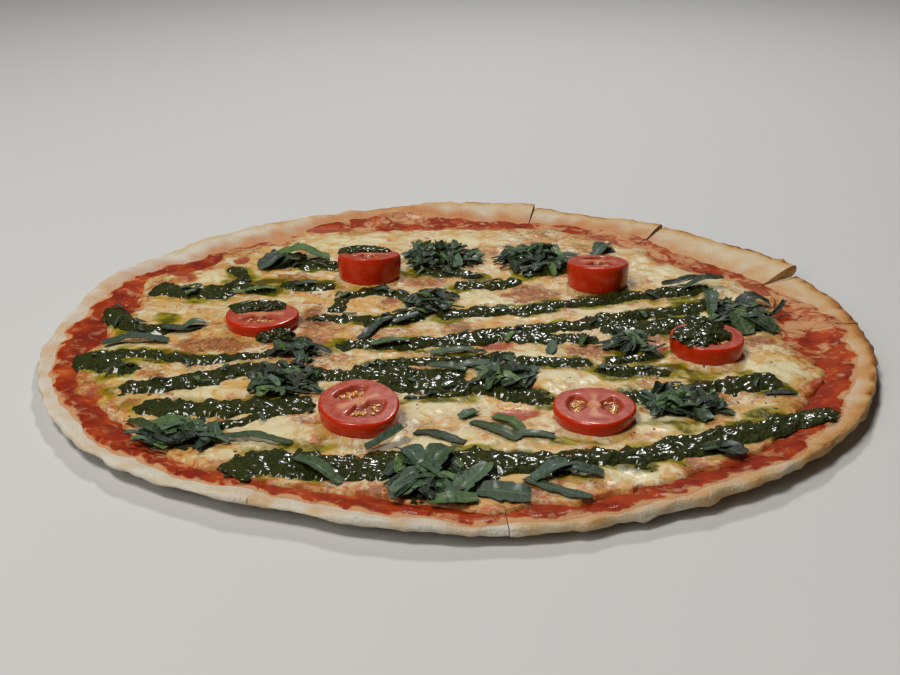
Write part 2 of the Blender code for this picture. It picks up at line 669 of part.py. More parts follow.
def make_pizza():
    clear_scene()
    bpy.context.scene.collection.children.link(bpy.data.collections.new("pizza"))
    crust, sauce, cheese, tomato, basil = [
        make_material(look) for look in (CRUST, SAUCE, CHEESE, TOMATO, BASIL)
    ]
    laid = [layer for cut in SLICES for layer in make_slice(cut, crust, sauce, cheese)]
    tree = surface_tree(laid)
    laid += [make_tomato(row, tree, tomato) for row in TOMATOES]
    tree = surface_tree(laid)
    for row in HEAPS:
        make_heap(row, tree, basil)
    for name, place, heading, length, width, bend, arch in LEAVES:
        make_leaf(name, place, heading, length, width, bend, (0.0, arch, 0.0), True, tree, basil)


make_pizza()
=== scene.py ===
# %% [markdown]
# # A thin pizza, cut into slices that still lie together
#
# This lesson dresses a plain model of a pizza. The plain model gives every size and place, and
# each cell below makes one thing that the eye meets: baked dough, sauce, melted cheese, herb
# paste, tomato halves, shredded basil, and last the light and the camera. Lengths in the tables
# are millimetres, because food is easiest to think of that way, and meshes are metres.

import math

import bmesh
import bpy
import numpy as np
from mathutils import Matrix, Vector


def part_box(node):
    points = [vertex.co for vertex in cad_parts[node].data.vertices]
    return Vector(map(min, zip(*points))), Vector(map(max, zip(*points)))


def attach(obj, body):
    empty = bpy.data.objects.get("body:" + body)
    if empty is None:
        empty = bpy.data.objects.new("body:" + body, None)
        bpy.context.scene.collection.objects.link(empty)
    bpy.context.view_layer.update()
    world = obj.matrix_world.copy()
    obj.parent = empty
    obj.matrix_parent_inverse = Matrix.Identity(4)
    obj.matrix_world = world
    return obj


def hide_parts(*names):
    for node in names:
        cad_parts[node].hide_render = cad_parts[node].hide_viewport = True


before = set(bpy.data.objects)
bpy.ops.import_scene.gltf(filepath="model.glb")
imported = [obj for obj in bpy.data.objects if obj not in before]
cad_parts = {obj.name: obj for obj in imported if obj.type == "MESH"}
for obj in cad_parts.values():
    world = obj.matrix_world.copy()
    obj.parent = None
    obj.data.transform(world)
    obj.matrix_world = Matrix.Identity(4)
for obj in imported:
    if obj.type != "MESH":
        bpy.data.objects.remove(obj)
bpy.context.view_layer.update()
MM = 0.001

# %% [markdown]
# ## Small tools
#
# A colour is easiest to pick as an sRGB hex value, and a shader wants linear light, so one
# function turns the first into the second. Another adds any node to a tree, with its settings
# and its links, and a third makes a piece from arrays of points and faces. Inputs go by number
# where a node's own names repeat: a Map Range has its value at 0, the range that it reads at 1
# and 2 and the range that it gives at 3 and 4, and a Mix has its share at 0 and its two colours
# at 6 and 7.


# %% Colour and node helpers
NOISE = "ShaderNodeTexNoise"
RANGE = "ShaderNodeMapRange"
MATH = "ShaderNodeMath"
MIX = "ShaderNodeMix"
RAMP = "ShaderNodeValToRGB"
BUMP = "ShaderNodeBump"
PAINTED = "ShaderNodeAttribute"


def colour(code):
    """Linear red, green, blue and alpha of an sRGB hex colour."""
    shares = [int(code[start:start + 2], 16) / 255.0 for start in (1, 3, 5)]
    linear = [share / 12.92 if share <= 0.04045 else ((share + 0.055) / 1.055) ** 2.4 for share in shares]
    return (*linear, 1.0)


def scale_of(size_mm):
    """The texture scale whose lumps are about this many millimetres wide."""
    return 1000.0 / size_mm


def fill(tree, node, inputs):
    """Links or sets inputs. Of a node, the first output in use is linked. A text is a hex colour."""
    for socket, value in inputs.items():
        if isinstance(value, bpy.types.Node):
            value = next(output for output in value.outputs if output.enabled)
        if isinstance(value, bpy.types.NodeSocket):
            tree.links.new(value, node.inputs[socket])
        else:
            node.inputs[socket].default_value = colour(value) if isinstance(value, str) else value


def add(tree, kind, inputs=None, stops=(), **settings):
    """Adds a node with its settings, its inputs and, for a ramp, its colour stops."""
    node = tree.nodes.new(kind)
    if kind == MIX:
        node.data_type = "RGBA"
    for name, value in settings.items():
        setattr(node, name, value)
    fill(tree, node, inputs or {})
    for position, _code in stops[1:-1]:
        node.color_ramp.elements.new(position)
    for index, (position, code) in enumerate(stops):
        node.color_ramp.elements[index].position = position
        node.color_ramp.elements[index].color = colour(code)
    return node


def start_material(name, uniform):
    """A new material's tree, its Principled shader and its object coordinates."""
    material = bpy.data.materials.new(name)
    material.use_nodes = True
    tree = material.node_tree
    shader = tree.nodes["Principled BSDF"]
    fill(tree, shader, uniform)
    place = add(tree, "ShaderNodeTexCoord").outputs["Object"]
    print("material:", name)
    return material, tree, shader, place


print("a middle grey in linear light:", round(colour("#808080")[0], 3))


# %% Piece helpers
def ring_faces(rings, sides, capped=True):
    """Faces between rings of points, with the first and last ring closed by a cap."""
    ring = np.arange(sides)
    after = (ring + 1) % sides
    faces = []
    for start in range(0, (rings - 1) * sides, sides):
        end = start + sides
        faces += np.stack([start + ring, start + after, end + after, end + ring], axis=1).tolist()
    if capped:
        faces.append(ring[::-1].tolist())
        faces.append(((rings - 1) * sides + ring).tolist())
    return faces


def joined(shapes):
    """One array of points and one list of faces from several of both."""
    faces, first = [], 0
    for points, shape_faces in shapes:
        faces += [[first + index for index in face] for face in shape_faces]
        first += len(points)
    return np.concatenate([points for points, _faces in shapes]), faces


def make_piece(name, points, faces, material, attributes=None, smooth_angle=50.0):
    """A closed mesh in metres, from points in millimetres."""
    mesh = bpy.data.meshes.new(name)
    mesh.from_pydata((np.asarray(points) * MM).tolist(), [], faces)
    for label, values in (attributes or {}).items():
        layer = mesh.attributes.new(label, "FLOAT", "POINT")
        layer.data.foreach_set("value", np.asarray(values, dtype=np.float32))
    work = bmesh.new()
    work.from_mesh(mesh)
    bmesh.ops.recalc_face_normals(work, faces=work.faces)
    work.to_mesh(mesh)
    work.free()
    mesh.materials.append(material)
    mesh.polygons.foreach_set("use_smooth", [True] * len(mesh.polygons))
    mesh.set_sharp_from_angle(angle=math.radians(smooth_angle))
    piece = bpy.data.objects.new(name, mesh)
    bpy.context.scene.collection.objects.link(piece)
    print(f"{name}: {len(mesh.vertices)} points, {len(mesh.polygons)} faces")
    return piece


print("a closed tube of 3 rings with 4 points has", len(ring_faces(3, 4)), "faces")

# %% [markdown]
# ## Unevenness
#
# Food is never even. A field of soft lumps of a named size, from -1 to 1, is used for heights,
# for edges and for where the cheese browned. It is worked out from a small table of seeded
# random numbers, so it is the same each time. The last number in each call is the seed.


# %% Fields
TABLE_SIZE = 64
# One degree of a circle as wide as this pizza
RIM_MM_PER_DEGREE = 2.6


def smooth_step(share):
    """0 below 0, 1 above 1, and a soft rise between them."""
    share = np.clip(share, 0.0, 1.0)
    return share * share * (3.0 - 2.0 * share)


def lumps(x, y, size, seed):
    """Soft lumps of one size in millimetres, from -1 to 1."""
    table = np.random.default_rng(seed).uniform(-1.0, 1.0, (TABLE_SIZE, TABLE_SIZE))
    across = np.asarray(x, dtype=float) / size + 10.0 * TABLE_SIZE
    away = np.asarray(y, dtype=float) / size + 10.0 * TABLE_SIZE
    column, row = np.floor(across).astype(int), np.floor(away).astype(int)
    right, up = smooth_step(across - column), smooth_step(away - row)
    column, next_column = column % TABLE_SIZE, (column + 1) % TABLE_SIZE
    row, next_row = row % TABLE_SIZE, (row + 1) % TABLE_SIZE
    low = table[column, row] * (1.0 - right) + table[next_column, row] * right
    high = table[column, next_row] * (1.0 - right) + table[next_column, next_row] * right
    return low * (1.0 - up) + high * up


print("lumps of 10 mm at one place:", round(float(lumps(3.0, 4.0, 10.0, 1)), 3))


def rough(x, y, size, seed):
    """Lumps with finer lumps on them."""
    return (lumps(x, y, size, seed) + 0.5 * lumps(x, y, 0.47 * size, seed + 1)
            + 0.25 * lumps(x, y, 0.22 * size, seed + 2)) / 1.4


def curve_through(before, first, second, after, share):
    """A smooth curve between two values, from those and their neighbours."""
    bend = (after - second * 3.0 + first * 3.0 - before) * share
    slope = (before * 2.0 - first * 5.0 + second * 4.0 - after + bend) * share
    return first + (second - before + slope) * (0.5 * share)


def rim_arc(angle):
    """Length along the rim in millimetres, from an angle in degrees."""
    return np.asarray(angle) * RIM_MM_PER_DEGREE


def around(values, angle):
    """Value at an angle in degrees, from values spread evenly round the full turn."""
    values = np.asarray(values, dtype=float)
    place = (np.asarray(angle) % 360.0) / 360.0 * len(values)
    index = np.floor(place).astype(int)
    picked = [values[(index + offset) % len(values)] for offset in (-1, 0, 1, 2)]
    return curve_through(*picked, place - index)


def along(values, share):
    """Value at a share from 0 to 1 of a list of numbers or points."""
    values = np.asarray(values, dtype=float)
    last = len(values) - 1
    place = np.clip(share, 0.0, 1.0) * last
    index = np.minimum(np.floor(place).astype(int), last - 1)
    picked = [values[np.clip(index + offset, 0, last)] for offset in (-1, 0, 1, 2)]
    rest = place - index
    return curve_through(*picked, rest.reshape(np.shape(rest) + (1,) * (values.ndim - 1)))


# %% [markdown]
# ## The pizza's plan
#
# These are the plain model's own named sizes: a thin base whose edge curls up, the reach of the
# crust, the sauce and the cheese every ten degrees from +X, and the slices between the cuts that
# show. The bands of paste are routes with a half width and a height.

# %% Plan
BASE_THICKNESS = 2.6
CURL_WIDTH = 20.0
CREST_INSET = 1.3
CREST_ROUNDING = 0.4
LOWER_EDGE_INSET = 0.6
UNDER_CURL = ((5.0, 0.62), (11.0, 0.2), (18.0, 0.0))
CUT_WIDTH = 0.08
CUT_OPENS_FROM = 112.0
LAYER_GAP = 0.35
SAUCE_THICKNESS = 0.8
SAUCE_EDGE_THICKNESS = 0.06
CHEESE_THICKNESS = 1.9
CHEESE_EDGE_THICKNESS = 0.9
CHEESE_EDGE_ROUNDING = 8.0
PASTE_SINK = 0.6

CRUST_REACH = (
    147.5, 148.5, 149, 148, 147, 147, 145, 146, 147, 147, 146.5, 146, 146, 146.5, 147, 148, 148.5, 148.5,
    149, 150, 150.5, 150.5, 150.5, 149.5, 147, 144, 145.5, 146.5, 147, 146, 147.5, 149, 150, 150, 149.5,
    148.5,
)
SAUCE_REACH = (
    142, 137, 133, 131, 129, 132, 133, 133, 131, 133, 139, 137, 134, 130, 134, 136, 141, 141,
    143, 145, 146, 146, 146, 144, 142, 140, 142, 144, 144.5, 143.5, 144.5, 145.5, 144, 143, 142, 142,
)
CHEESE_REACH = (
    118, 127, 126, 114, 112, 119, 121, 121, 116, 115, 115, 118, 129, 122, 128, 122, 134, 127,
    128, 132, 137, 136, 135, 134, 133, 133, 132, 136, 137, 136, 135, 136, 134, 129, 131, 123,
)
NEAR_RIGHT_CRESTS = (5.8, 5.8, 7.0, 7.4, 7.4, 7.4, 7.0, 6.6)
LEFT_CRESTS = (6.2, 6.0, 6.5, 5.4, 6.8, 5.2, 5.0, 5.6, 6.0, 6.2, 6.4, 6.8)
# Name, first cut, second cut, crest heights, lower edge heights, how far the rim opens at each cut
SLICES = (
    ("near", -114.0, -85.0, (6.8, 6.6, 6.6, 5.8), (4.6, 4.4, 4.0, 3.2), (0.02, 0.06)),
    ("near_right", -85.0, -2.0, NEAR_RIGHT_CRESTS, (2.8, 2.6, 4.4, 4.6, 4.2, 3.4), (0.2, 0.1)),
    ("right", -2.0, 20.0, (7.0, 6.4, 5.2), (3.2, 3.0, 2.4), (0.1, 1.0)),
    ("far_right", 20.0, 50.0, (9.4, 7.4, 6.4, 6.6), (5.8, 3.8, 3.0, 3.2), (0.6, 1.0)),
    ("far", 50.0, 75.0, (7.4, 6.2, 6.4), (4.0, 3.0, 3.0), (1.0, 0.3)),
    ("far_left", 75.0, 114.0, (8.2, 7.6, 6.6, 6.0), (4.4, 4.0, 3.2, 2.8), (0.4, 0.1)),
    ("left", 114.0, 246.0, LEFT_CRESTS, (3.0, 2.8, 3.2, 2.8, 3.4, 4.0, 4.6), (0.1, 0.02)),
)
FIRST_CUT = SLICES[0][1]
CREST_COLUMN = 3
LOWER_EDGE_COLUMN = 4
# Half width, height, route
PASTE_BANDS = (
    (7.0, 2.4, ((-60, -111), (-48, -112), (-30, -112), (-8, -111), (12, -111), (32, -110))),
    (5.6, 2.4, ((30, -109), (50, -107), (68, -101), (86, -92), (110, -80))),
    (5.6, 2.4, ((-97, -73), (-84, -75), (-66, -73), (-51, -74))),
    (2.6, 1.6, ((-73, -87), (-60, -80), (-50, -76))),
    (5.2, 2.4, ((-107, -60), (-95, -57), (-80, -49), (-60, -46), (-40, -49), (-20, -48), (-6, -52))),
    (5.8, 2.6, ((-128, -36), (-120, -41), (-114, -45))),
    (2.8, 1.8, ((-119, -33), (-105, -32), (-95, -36), (-80, -36), (-66, -32))),
    (3.8, 2.2, ((-130, 10), (-125, 1), (-118, -9), (-108, -10))),
    (5.6, 2.6, ((-116, 32), (-106, 28), (-95, 29))),
    (3.0, 2.0, ((-91, 54), (-87, 46), (-88, 37), (-76, 31))),
    (4.0, 2.2, ((-68, 61), (-52, 60))),
    (4.2, 2.2, ((-66, 36), (-53, 35))),
    (2.6, 1.6, ((-54, 1), (-45, 1), (-32, -1))),
    (2.8, 2.0, ((-46, 12), (-43, 24), (-31, 29), (-19, 22))),
    (4.2, 2.2, ((-31, -4), (-21, 2), (-10, 10))),
    (3.8, 2.2, ((-4, 4), (10, 7), (28, 10), (45, 16), (62, 22), (80, 27), (96, 31))),
    (4.0, 2.2, ((10, -14), (28, -9), (45, -5), (62, 1), (80, 7), (102, 17))),
    (4.6, 2.2, ((14, -16), (30, -17), (45, -19))),
    (4.4, 2.4, ((-38, -25), (-24, -24), (-9, -21), (7, -19))),
    (2.8, 2.0, ((-34, -44), (-18, -39), (0, -37), (16, -33))),
    (4.8, 2.4, ((-22, -55), (-10, -58), (6, -60), (18, -65), (26, -69))),
    (1.6, 1.2, ((-17, -67), (-8, -66), (3, -64))),
    (2.8, 1.8, ((24, -39), (34, -39), (44, -39))),
    (3.4, 2.2, ((51, -46), (60, -46), (69, -47))),
    (2.4, 1.6, ((53, -37), (61, -35), (69, -33))),
    (4.6, 2.4, ((56, -67), (68, -64), (80, -61), (92, -57), (103, -55))),
    (3.6, 2.2, ((2, 36), (12, 35), (23, 40))),
    (3.0, 2.0, ((-14, 53), (-4, 50), (8, 47))),
    (3.4, 2.0, ((30, 49), (44, 55))),
    (6.4, 2.4, ((60, -10), (72, -8), (86, -2), (100, -3))),
)
# Share of a half's height, share of its width
TOMATO_PROFILE = (
    (0.0, 0.93), (0.12, 0.965), (0.35, 0.985), (0.6, 1.0), (0.85, 0.995), (0.96, 0.975), (1.0, 0.94),
)
# Name, middle, width, depth, height, turn, slope of the cut face
TOMATOES = (
    ("tomato_near_left", (-31, -83), 25, 29, 6.3, 20, 5),
    ("tomato_near_right", (42, -82), 26, 27, 4.6, -8, 0),
    ("tomato_left", (-72, -6), 27, 25, 4.6, 5, 0),
    ("tomato_right", (87, -30.5), 25.5, 26, 6.4, 30, 0),
    ("tomato_far_left", (-35.5, 46.5), 25.5, 25, 9.6, 0, -9),
    ("tomato_far_right", (56, 37), 24.5, 25, 9.8, 0, -6.5),
)
print(len(SLICES), "slices,", len(PASTE_BANDS), "bands of paste,", len(TOMATOES), "tomato halves")

# %% [markdown]
# ## Patches on the cheese
#
# Melted cheese has a map: pale thick pools where a slice of mozzarella lay, red places where the
# sauce shows through, orange-brown places where fat and milk browned, and green-gold oil that ran
# out of the herb paste. Each is a short list of ovals, as middle and half widths, whose outlines
# a field of lumps tears up.

# %% Patch lists
PALE_POOLS = (
    (-45, 87, 24, 16), (9, 21, 12, 10), (-10, -74, 10, 8), (32, -52, 13, 7), (60, 5, 14, 8),
    (53, -119, 18, 9), (-56, -92, 14, 9), (-4, -98, 15, 9), (-118, -27, 16, 4),
    (94, 44, 18, 16), (108, -46, 12, 13), (-103, 50, 9, 9), (62, -86, 12, 6), (3, 92, 18, 8),
    (30, -33, 12, 5), (-82, -62, 12, 5), (-40, -63, 9, 4),
)
BROWNED = (
    (-90, -24, 15, 7), (-54, 4, 7, 12), (-1, -11, 6, 8), (29, 27, 11, 11), (-25, 20, 8, 6),
    (-13, 42, 10, 6), (-46, -93, 6, 9), (46, -27, 9, 6), (72, -18, 7, 6), (18, -126, 7, 5),
    (-20, -127, 7, 4), (68, -114, 4, 7), (-106, -72, 4, 5), (-104, -48, 6, 3), (108, -20, 6, 6),
    (-55, -22, 9, 5), (5, 44, 9, 5), (-66, 44, 8, 6), (40, -120, 5, 4),
)
RED_SHOWS = (
    (14, -23, 7, 4), (23, -61, 7, 3), (19, -79, 7, 4), (-19, -134, 8, 4), (89, 76, 7, 11),
    (108, 64, 12, 9), (121, 40, 7, 13), (-15, 119, 12, 11), (13, 116, 14, 8), (-60, 112, 13, 7),
    (-112, 56, 10, 12), (-91, 67, 3, 4), (71, 101, 12, 9), (104, -95, 8, 7), (86, -112, 12, 7),
    (60, -128, 14, 6), (122, -60, 6, 12), (70, -27, 5, 4), (10, 12, 4, 3), (-119, -62, 4, 8),
    (-64, -122, 10, 4),
)
OIL_POOLS = (
    (-73, 40, 11, 7), (-110, 2, 7, 5), (-104, -37, 7, 3), (22, -97, 12, 4), (66, -87, 12, 6),
    (73, -44, 6, 5), (-46, -101, 10, 4), (80, -50, 9, 5), (-24, 50, 8, 4), (-36, -3, 9, 3),
    (38, -100, 10, 4), (-93, 20, 10, 4), (97, -78, 8, 4), (78, 18, 9, 3),
)


def patches(x, y, rows, seed):
    """1 in the listed ovals, falling to 0 over a torn edge."""
    value = np.zeros(np.shape(x))
    torn = 0.34 * lumps(x, y, 6.0, seed) + 0.2 * lumps(x, y, 2.6, seed + 1)
    for middle_x, middle_y, wide, deep in rows:
        away = np.hypot((x - middle_x) / wide, (y - middle_y) / deep) + torn
        value = np.maximum(value, smooth_step((1.3 - away) / 0.8))
    return value


print(len(PALE_POOLS), "pale pools,", len(BROWNED), "browned places,", len(RED_SHOWS), "red places")

# %% [markdown]
# ## Heights
#
# Every layer's height is a function of place: the crust's curl, the sauce on it, the cheese on
# that, and the paste on the cheese. The meshes below only read these functions, so the layers
# always fit each other.


# %% Crust, sauce and cheese heights
def slice_index(angle):
    """Index of the slice that each angle falls in."""
    turned = (np.asarray(angle) - FIRST_CUT) % 360.0 + FIRST_CUT
    last_cuts = [row[2] for row in SLICES]
    return np.searchsorted(last_cuts, turned, side="right").clip(0, len(SLICES) - 1)


def from_slices(column, index, angle):
    """A value that each slice spreads from its first cut to its second."""
    angle = np.asarray(angle, dtype=float)
    value = np.zeros(angle.shape)
    for number, row in enumerate(SLICES):
        share = (((angle - row[1] + 1.0) % 360.0) - 1.0) / (row[2] - row[1])
        here = np.broadcast_to(index, angle.shape) == number
        value = np.where(here, along(row[column], share), value)
    return value


def crust_reach(angle):
    """How far out the rim goes."""
    arc = rim_arc(angle)
    return around(CRUST_REACH, angle) + 0.6 * lumps(arc, 0.0, 9.0, 5) + 0.45 * lumps(arc, 0.0, 3.5, 6)


def crust_top(index, angle, radius):
    """Height of the dough's upper side."""
    reach = around(CRUST_REACH, angle)
    arc = rim_arc(angle)
    crest = from_slices(CREST_COLUMN, index, angle)
    crest = crest + 0.4 * lumps(arc, 0.0, 7.0, 11) + 0.34 * lumps(arc, 0.0, 2.6, 12)
    rise = smooth_step((radius - reach + CURL_WIDTH) / (CURL_WIDTH - CREST_INSET))
    dough = 0.35 * rough(arc, radius, 9.0, 14) * smooth_step((radius - reach + 24.0) / 12.0)
    return BASE_THICKNESS + (crest - BASE_THICKNESS) * rise + dough


def sauce_reach(angle):
    """How far out the sauce goes."""
    arc = rim_arc(angle)
    return around(SAUCE_REACH, angle) + 1.5 * lumps(arc, 0.0, 11.0, 21) + 0.9 * lumps(arc, 0.0, 4.0, 22)


def sauce_top(index, angle, radius):
    """Height of the sauce, which thins to nothing at its edge."""
    inset = sauce_reach(angle) - radius
    thickness = SAUCE_EDGE_THICKNESS + (SAUCE_THICKNESS - SAUCE_EDGE_THICKNESS) * smooth_step(inset / 4.0)
    arc = rim_arc(angle)
    pulp = 0.4 * rough(arc, radius, 4.5, 24) * smooth_step(inset / 3.0)
    return crust_top(index, angle, radius) + LAYER_GAP * smooth_step(inset / 2.0) + thickness + pulp


def cheese_reach(angle):
    """How far out the cheese goes."""
    arc = rim_arc(angle)
    return around(CHEESE_REACH, angle) + 2.6 * lumps(arc, 0.0, 13.0, 31) + 1.7 * lumps(arc, 0.0, 5.0, 32)


def beside_tomatoes(x, y):
    """Distance from the skin of the nearest tomato half, below zero under it."""
    nearest = np.full(np.shape(x), 1000.0)
    for _name, middle, width, depth, _height, turn, _slope in TOMATOES:
        cosine, sine = math.cos(math.radians(turn)), math.sin(math.radians(turn))
        across = (x - middle[0]) * cosine + (y - middle[1]) * sine
        away = (y - middle[1]) * cosine - (x - middle[0]) * sine
        share = np.hypot(across / (0.5 * width), away / (0.5 * depth))
        nearest = np.minimum(nearest, (share - 1.0) * 0.25 * (width + depth))
    return nearest


def cheese_top(index, angle, radius):
    """Height of the cheese: pools, folds, and a foot against each tomato half."""
    inset = cheese_reach(angle) - radius
    x, y = radius * np.cos(np.radians(angle)), radius * np.sin(np.radians(angle))
    inner = smooth_step(inset / CHEESE_EDGE_ROUNDING)
    thickness = CHEESE_EDGE_THICKNESS + (CHEESE_THICKNESS - CHEESE_EDGE_THICKNESS) * inner
    relief = 0.4 * lumps(x, y, 15.0, 41) + 0.42 * rough(x, y, 7.0, 43)
    relief = relief + 0.28 * (1.0 - 2.4 * np.abs(lumps(x + 0.5 * y, 0.6 * y, 4.2, 45)))
    relief = relief + 0.55 * patches(x, y, PALE_POOLS, 101) - 0.5 * patches(x, y, RED_SHOWS, 131)
    base = crust_top(index, angle, radius) + 2.0 * LAYER_GAP + SAUCE_THICKNESS
    beside = beside_tomatoes(x, y)
    pressed = 1.0 - smooth_step((beside - 1.0) / 5.0)
    climbed = (0.9 + 0.3 * lumps(x, y, 4.0, 49)) * np.exp(-(beside / 1.3) ** 2)
    return base + thickness + relief * inner * (1.0 - pressed) + climbed


def cheese_surface(x, y):
    """Height of the cheese at a place."""
    angle = np.degrees(np.arctan2(y, x))
    return cheese_top(slice_index(angle), angle, np.hypot(x, y))


sample = float(cheese_surface(np.array(30.0), np.array(-30.0)))
print("cheese stands", round(sample, 2), "mm high near the middle")


# %% Paste heights
ROUTE_SAMPLES = 30
ROUTE_MARGIN = 6.0
FAR_FROM_PASTE = 50.0
PLACES_AT_ONCE = 4000


def paste_field(x, y):
    """How high the paste stands over the cheese, below zero outside it, and the gap to it."""
    height = np.full(np.shape(x), -PASTE_SINK)
    gap = np.full(np.shape(x), FAR_FROM_PASTE)
    uneven = 0.36 * lumps(x, y, 9.0, 61) + 0.3 * lumps(x, y, 3.6, 62) + 0.2 * lumps(x, y, 1.6, 63)
    for half_width, top, route in PASTE_BANDS:
        route = np.asarray(route, dtype=float)
        line = along(route, np.linspace(0.0, 1.0, ROUTE_SAMPLES * len(route)))
        reach = half_width * 1.5 + ROUTE_MARGIN
        close = (x > line[:, 0].min() - reach) & (x < line[:, 0].max() + reach)
        close &= (y > line[:, 1].min() - reach) & (y < line[:, 1].max() + reach)
        spots = np.stack([x[close], y[close]], axis=-1)
        if not len(spots):
            continue
        away = np.concatenate([
            np.sqrt(((part[:, None] - line[None]) ** 2).sum(axis=2).min(axis=1))
            for part in np.array_split(spots, max(1, len(spots) // PLACES_AT_ONCE))
        ])
        width = half_width * (1.08 + uneven[close])
        rise = np.maximum(0.75 * top * (1.0 - (away / width) ** 2.0), -PASTE_SINK)
        height[close] = np.maximum(height[close], rise)
        gap[close] = np.minimum(gap[close], away - width)
    return height, gap


print("tallest band of paste:", max(top for _half_width, top, _route in PASTE_BANDS), "mm")

# %% [markdown]
# ## Baked dough
#
# The crust is one thin sheet of rolled dough whose edge curled up in the oven. It is floury and
# cream on the left, toasted gold to the right and at the back, and dry and matt all over. Each
# slice is a closed loft through radial sections; the lower edge stands clear of what it lies
# on, which gives the dark line under the rim. A disc could be cut with Booleans instead, but a
# loft lets each slice keep its own rim and leaves clean edges at the cuts.


# %% Slice solids
def slice_sections(row, step, width):
    """Angles of a slice's sections, and how far each place stands back from its cuts."""
    count = max(4, round((row[2] - row[1]) / step))
    angles = np.linspace(row[1], row[2], count + 1)
    middle, half = math.radians(0.5 * (row[1] + row[2])), math.radians(0.5 * (row[2] - row[1]))
    distance = 0.5 * width / math.sin(half)
    back = np.zeros(count + 1)
    back[0], back[-1] = row[5][0], -row[5][1]
    return angles, back, np.array([distance * math.cos(middle), distance * math.sin(middle)])


def lay_sections(row, angles, back, shift, radii, heights):
    """Points of the sections, as rows of x, y and z."""
    opened = around(CRUST_REACH, angles) - CUT_OPENS_FROM
    stand = back[:, None] * (np.maximum(0.0, radii - CUT_OPENS_FROM) / opened[:, None]) ** 2
    ragged = 0.05 * lumps(radii, 10.0 * row[1] + 0.0 * radii, 3.0, 71) * (back[:, None] != 0.0)
    turn = np.radians(angles)[:, None] + (stand + ragged) / np.maximum(radii, 1.0)
    x, y = radii * np.cos(turn) + shift[0], radii * np.sin(turn) + shift[1]
    return np.stack([x, y, heights], axis=-1)


def build_layer(name, step, width, profile, material):
    """Joins one closed solid for each slice. profile gives radii, heights and painted marks."""
    solids, marks = [], {}
    for number, row in enumerate(SLICES):
        angles, back, shift = slice_sections(row, step, width)
        radii, heights, found = profile(number, angles)
        laid = lay_sections(row, angles, back, shift, radii, heights)
        solids.append((laid.reshape(-1, 3), ring_faces(*laid.shape[:2])))
        for label, values in found.items():
            marks.setdefault(label, []).append(np.broadcast_to(values, radii.shape).reshape(-1))
    marks = {label: np.concatenate(values) for label, values in marks.items()}
    return make_piece(name, *joined(solids), material, marks)


print("sections in the largest slice at one for each degree:", len(slice_sections(SLICES[-1], 1.0, 0.0)[0]))

# %% Dough material
# Rolled dough, baked: cream with dry flour on it, gold where it toasted, and small brown blisters.
# Golden and wash are painted on the mesh: how toasted it is, and where sauce stained it orange.
GOLDEN = (
    0.75, 0.8, 0.7, 0.62, 0.62, 0.64, 0.62, 0.58, 0.48, 0.44, 0.46, 0.46, 0.38, 0.32, 0.26, 0.18, 0.12, 0.08,
    0.06, 0.05, 0.04, 0.02, 0.02, 0.04, 0.06, 0.08, 0.1, 0.14, 0.16, 0.2, 0.26, 0.34, 0.44, 0.54, 0.62, 0.72,
)
WASH = (
    0.3, 0.3, 0.3, 0.35, 0.4, 0.55, 0.7, 0.75, 0.75, 0.75, 0.75, 0.7, 0.7, 0.7, 0.65, 0.6, 0.45, 0.3,
    0.15, 0.1, 0.1, 0.1, 0.1, 0.1, 0.12, 0.2, 0.25, 0.25, 0.25, 0.3, 0.3, 0.35, 0.35, 0.35, 0.35, 0.3,
)
CLOUD_MM = 11.0
FLOUR_GRAIN_MM = 0.9
BLISTER_MM = 2.4

dough, tree, shader, place = start_material("baked dough", {"Roughness": 0.82, "IOR": 1.4})
golden, wash = (
    add(tree, PAINTED, attribute_name=label).outputs["Fac"] for label in ("golden", "wash")
)
cloud = add(tree, NOISE, {"Vector": place, "Scale": scale_of(CLOUD_MM), "Detail": 8.0, "Roughness": 0.55})
grain = add(tree, NOISE, {"Vector": place, "Scale": scale_of(FLOUR_GRAIN_MM), "Detail": 4.0})
shift = add(tree, RANGE, {0: cloud, 1: 0.3, 2: 0.7, 3: -0.17, 4: 0.17})
toast = add(tree, MATH, {0: golden, 1: shift}, operation="ADD", use_clamp=True)
baked = add(tree, RAMP, {0: toast}, stops=(
    (0.0, "#CCC6B7"), (0.22, "#C9B594"), (0.5, "#C49E66"), (0.75, "#A97034"), (1.0, "#5E3716"),
))
speck = add(tree, NOISE, {"Vector": place, "Scale": scale_of(BLISTER_MM), "Detail": 6.0})
burnt = add(tree, RANGE, {0: speck, 1: 0.66, 2: 0.74, 4: 0.7})
charred = add(tree, MATH, {0: burnt, 1: golden}, operation="MULTIPLY")
torn = add(tree, MATH, {0: shift, 1: 0.6, 2: wash}, operation="MULTIPLY_ADD", use_clamp=True)
stained = add(tree, MIX, {0: torn, 6: baked, 7: "#BC6F30"})
blistered = add(tree, MIX, {0: charred, 6: stained, 7: "#5A3418"})
height = add(tree, MATH, {0: cloud, 1: 1.6, 2: grain}, operation="MULTIPLY_ADD")
bump = add(tree, BUMP, {"Strength": 0.7, "Distance": 0.0007, "Height": height})
fill(tree, shader, {"Base Color": blistered, "Normal": bump})

# %% Crust
FLAT_RADII = (0.0, 60.0, 100.0)
RISING_FROM = 108.0
RISING_STATIONS = 26
WALL_STATIONS = 16


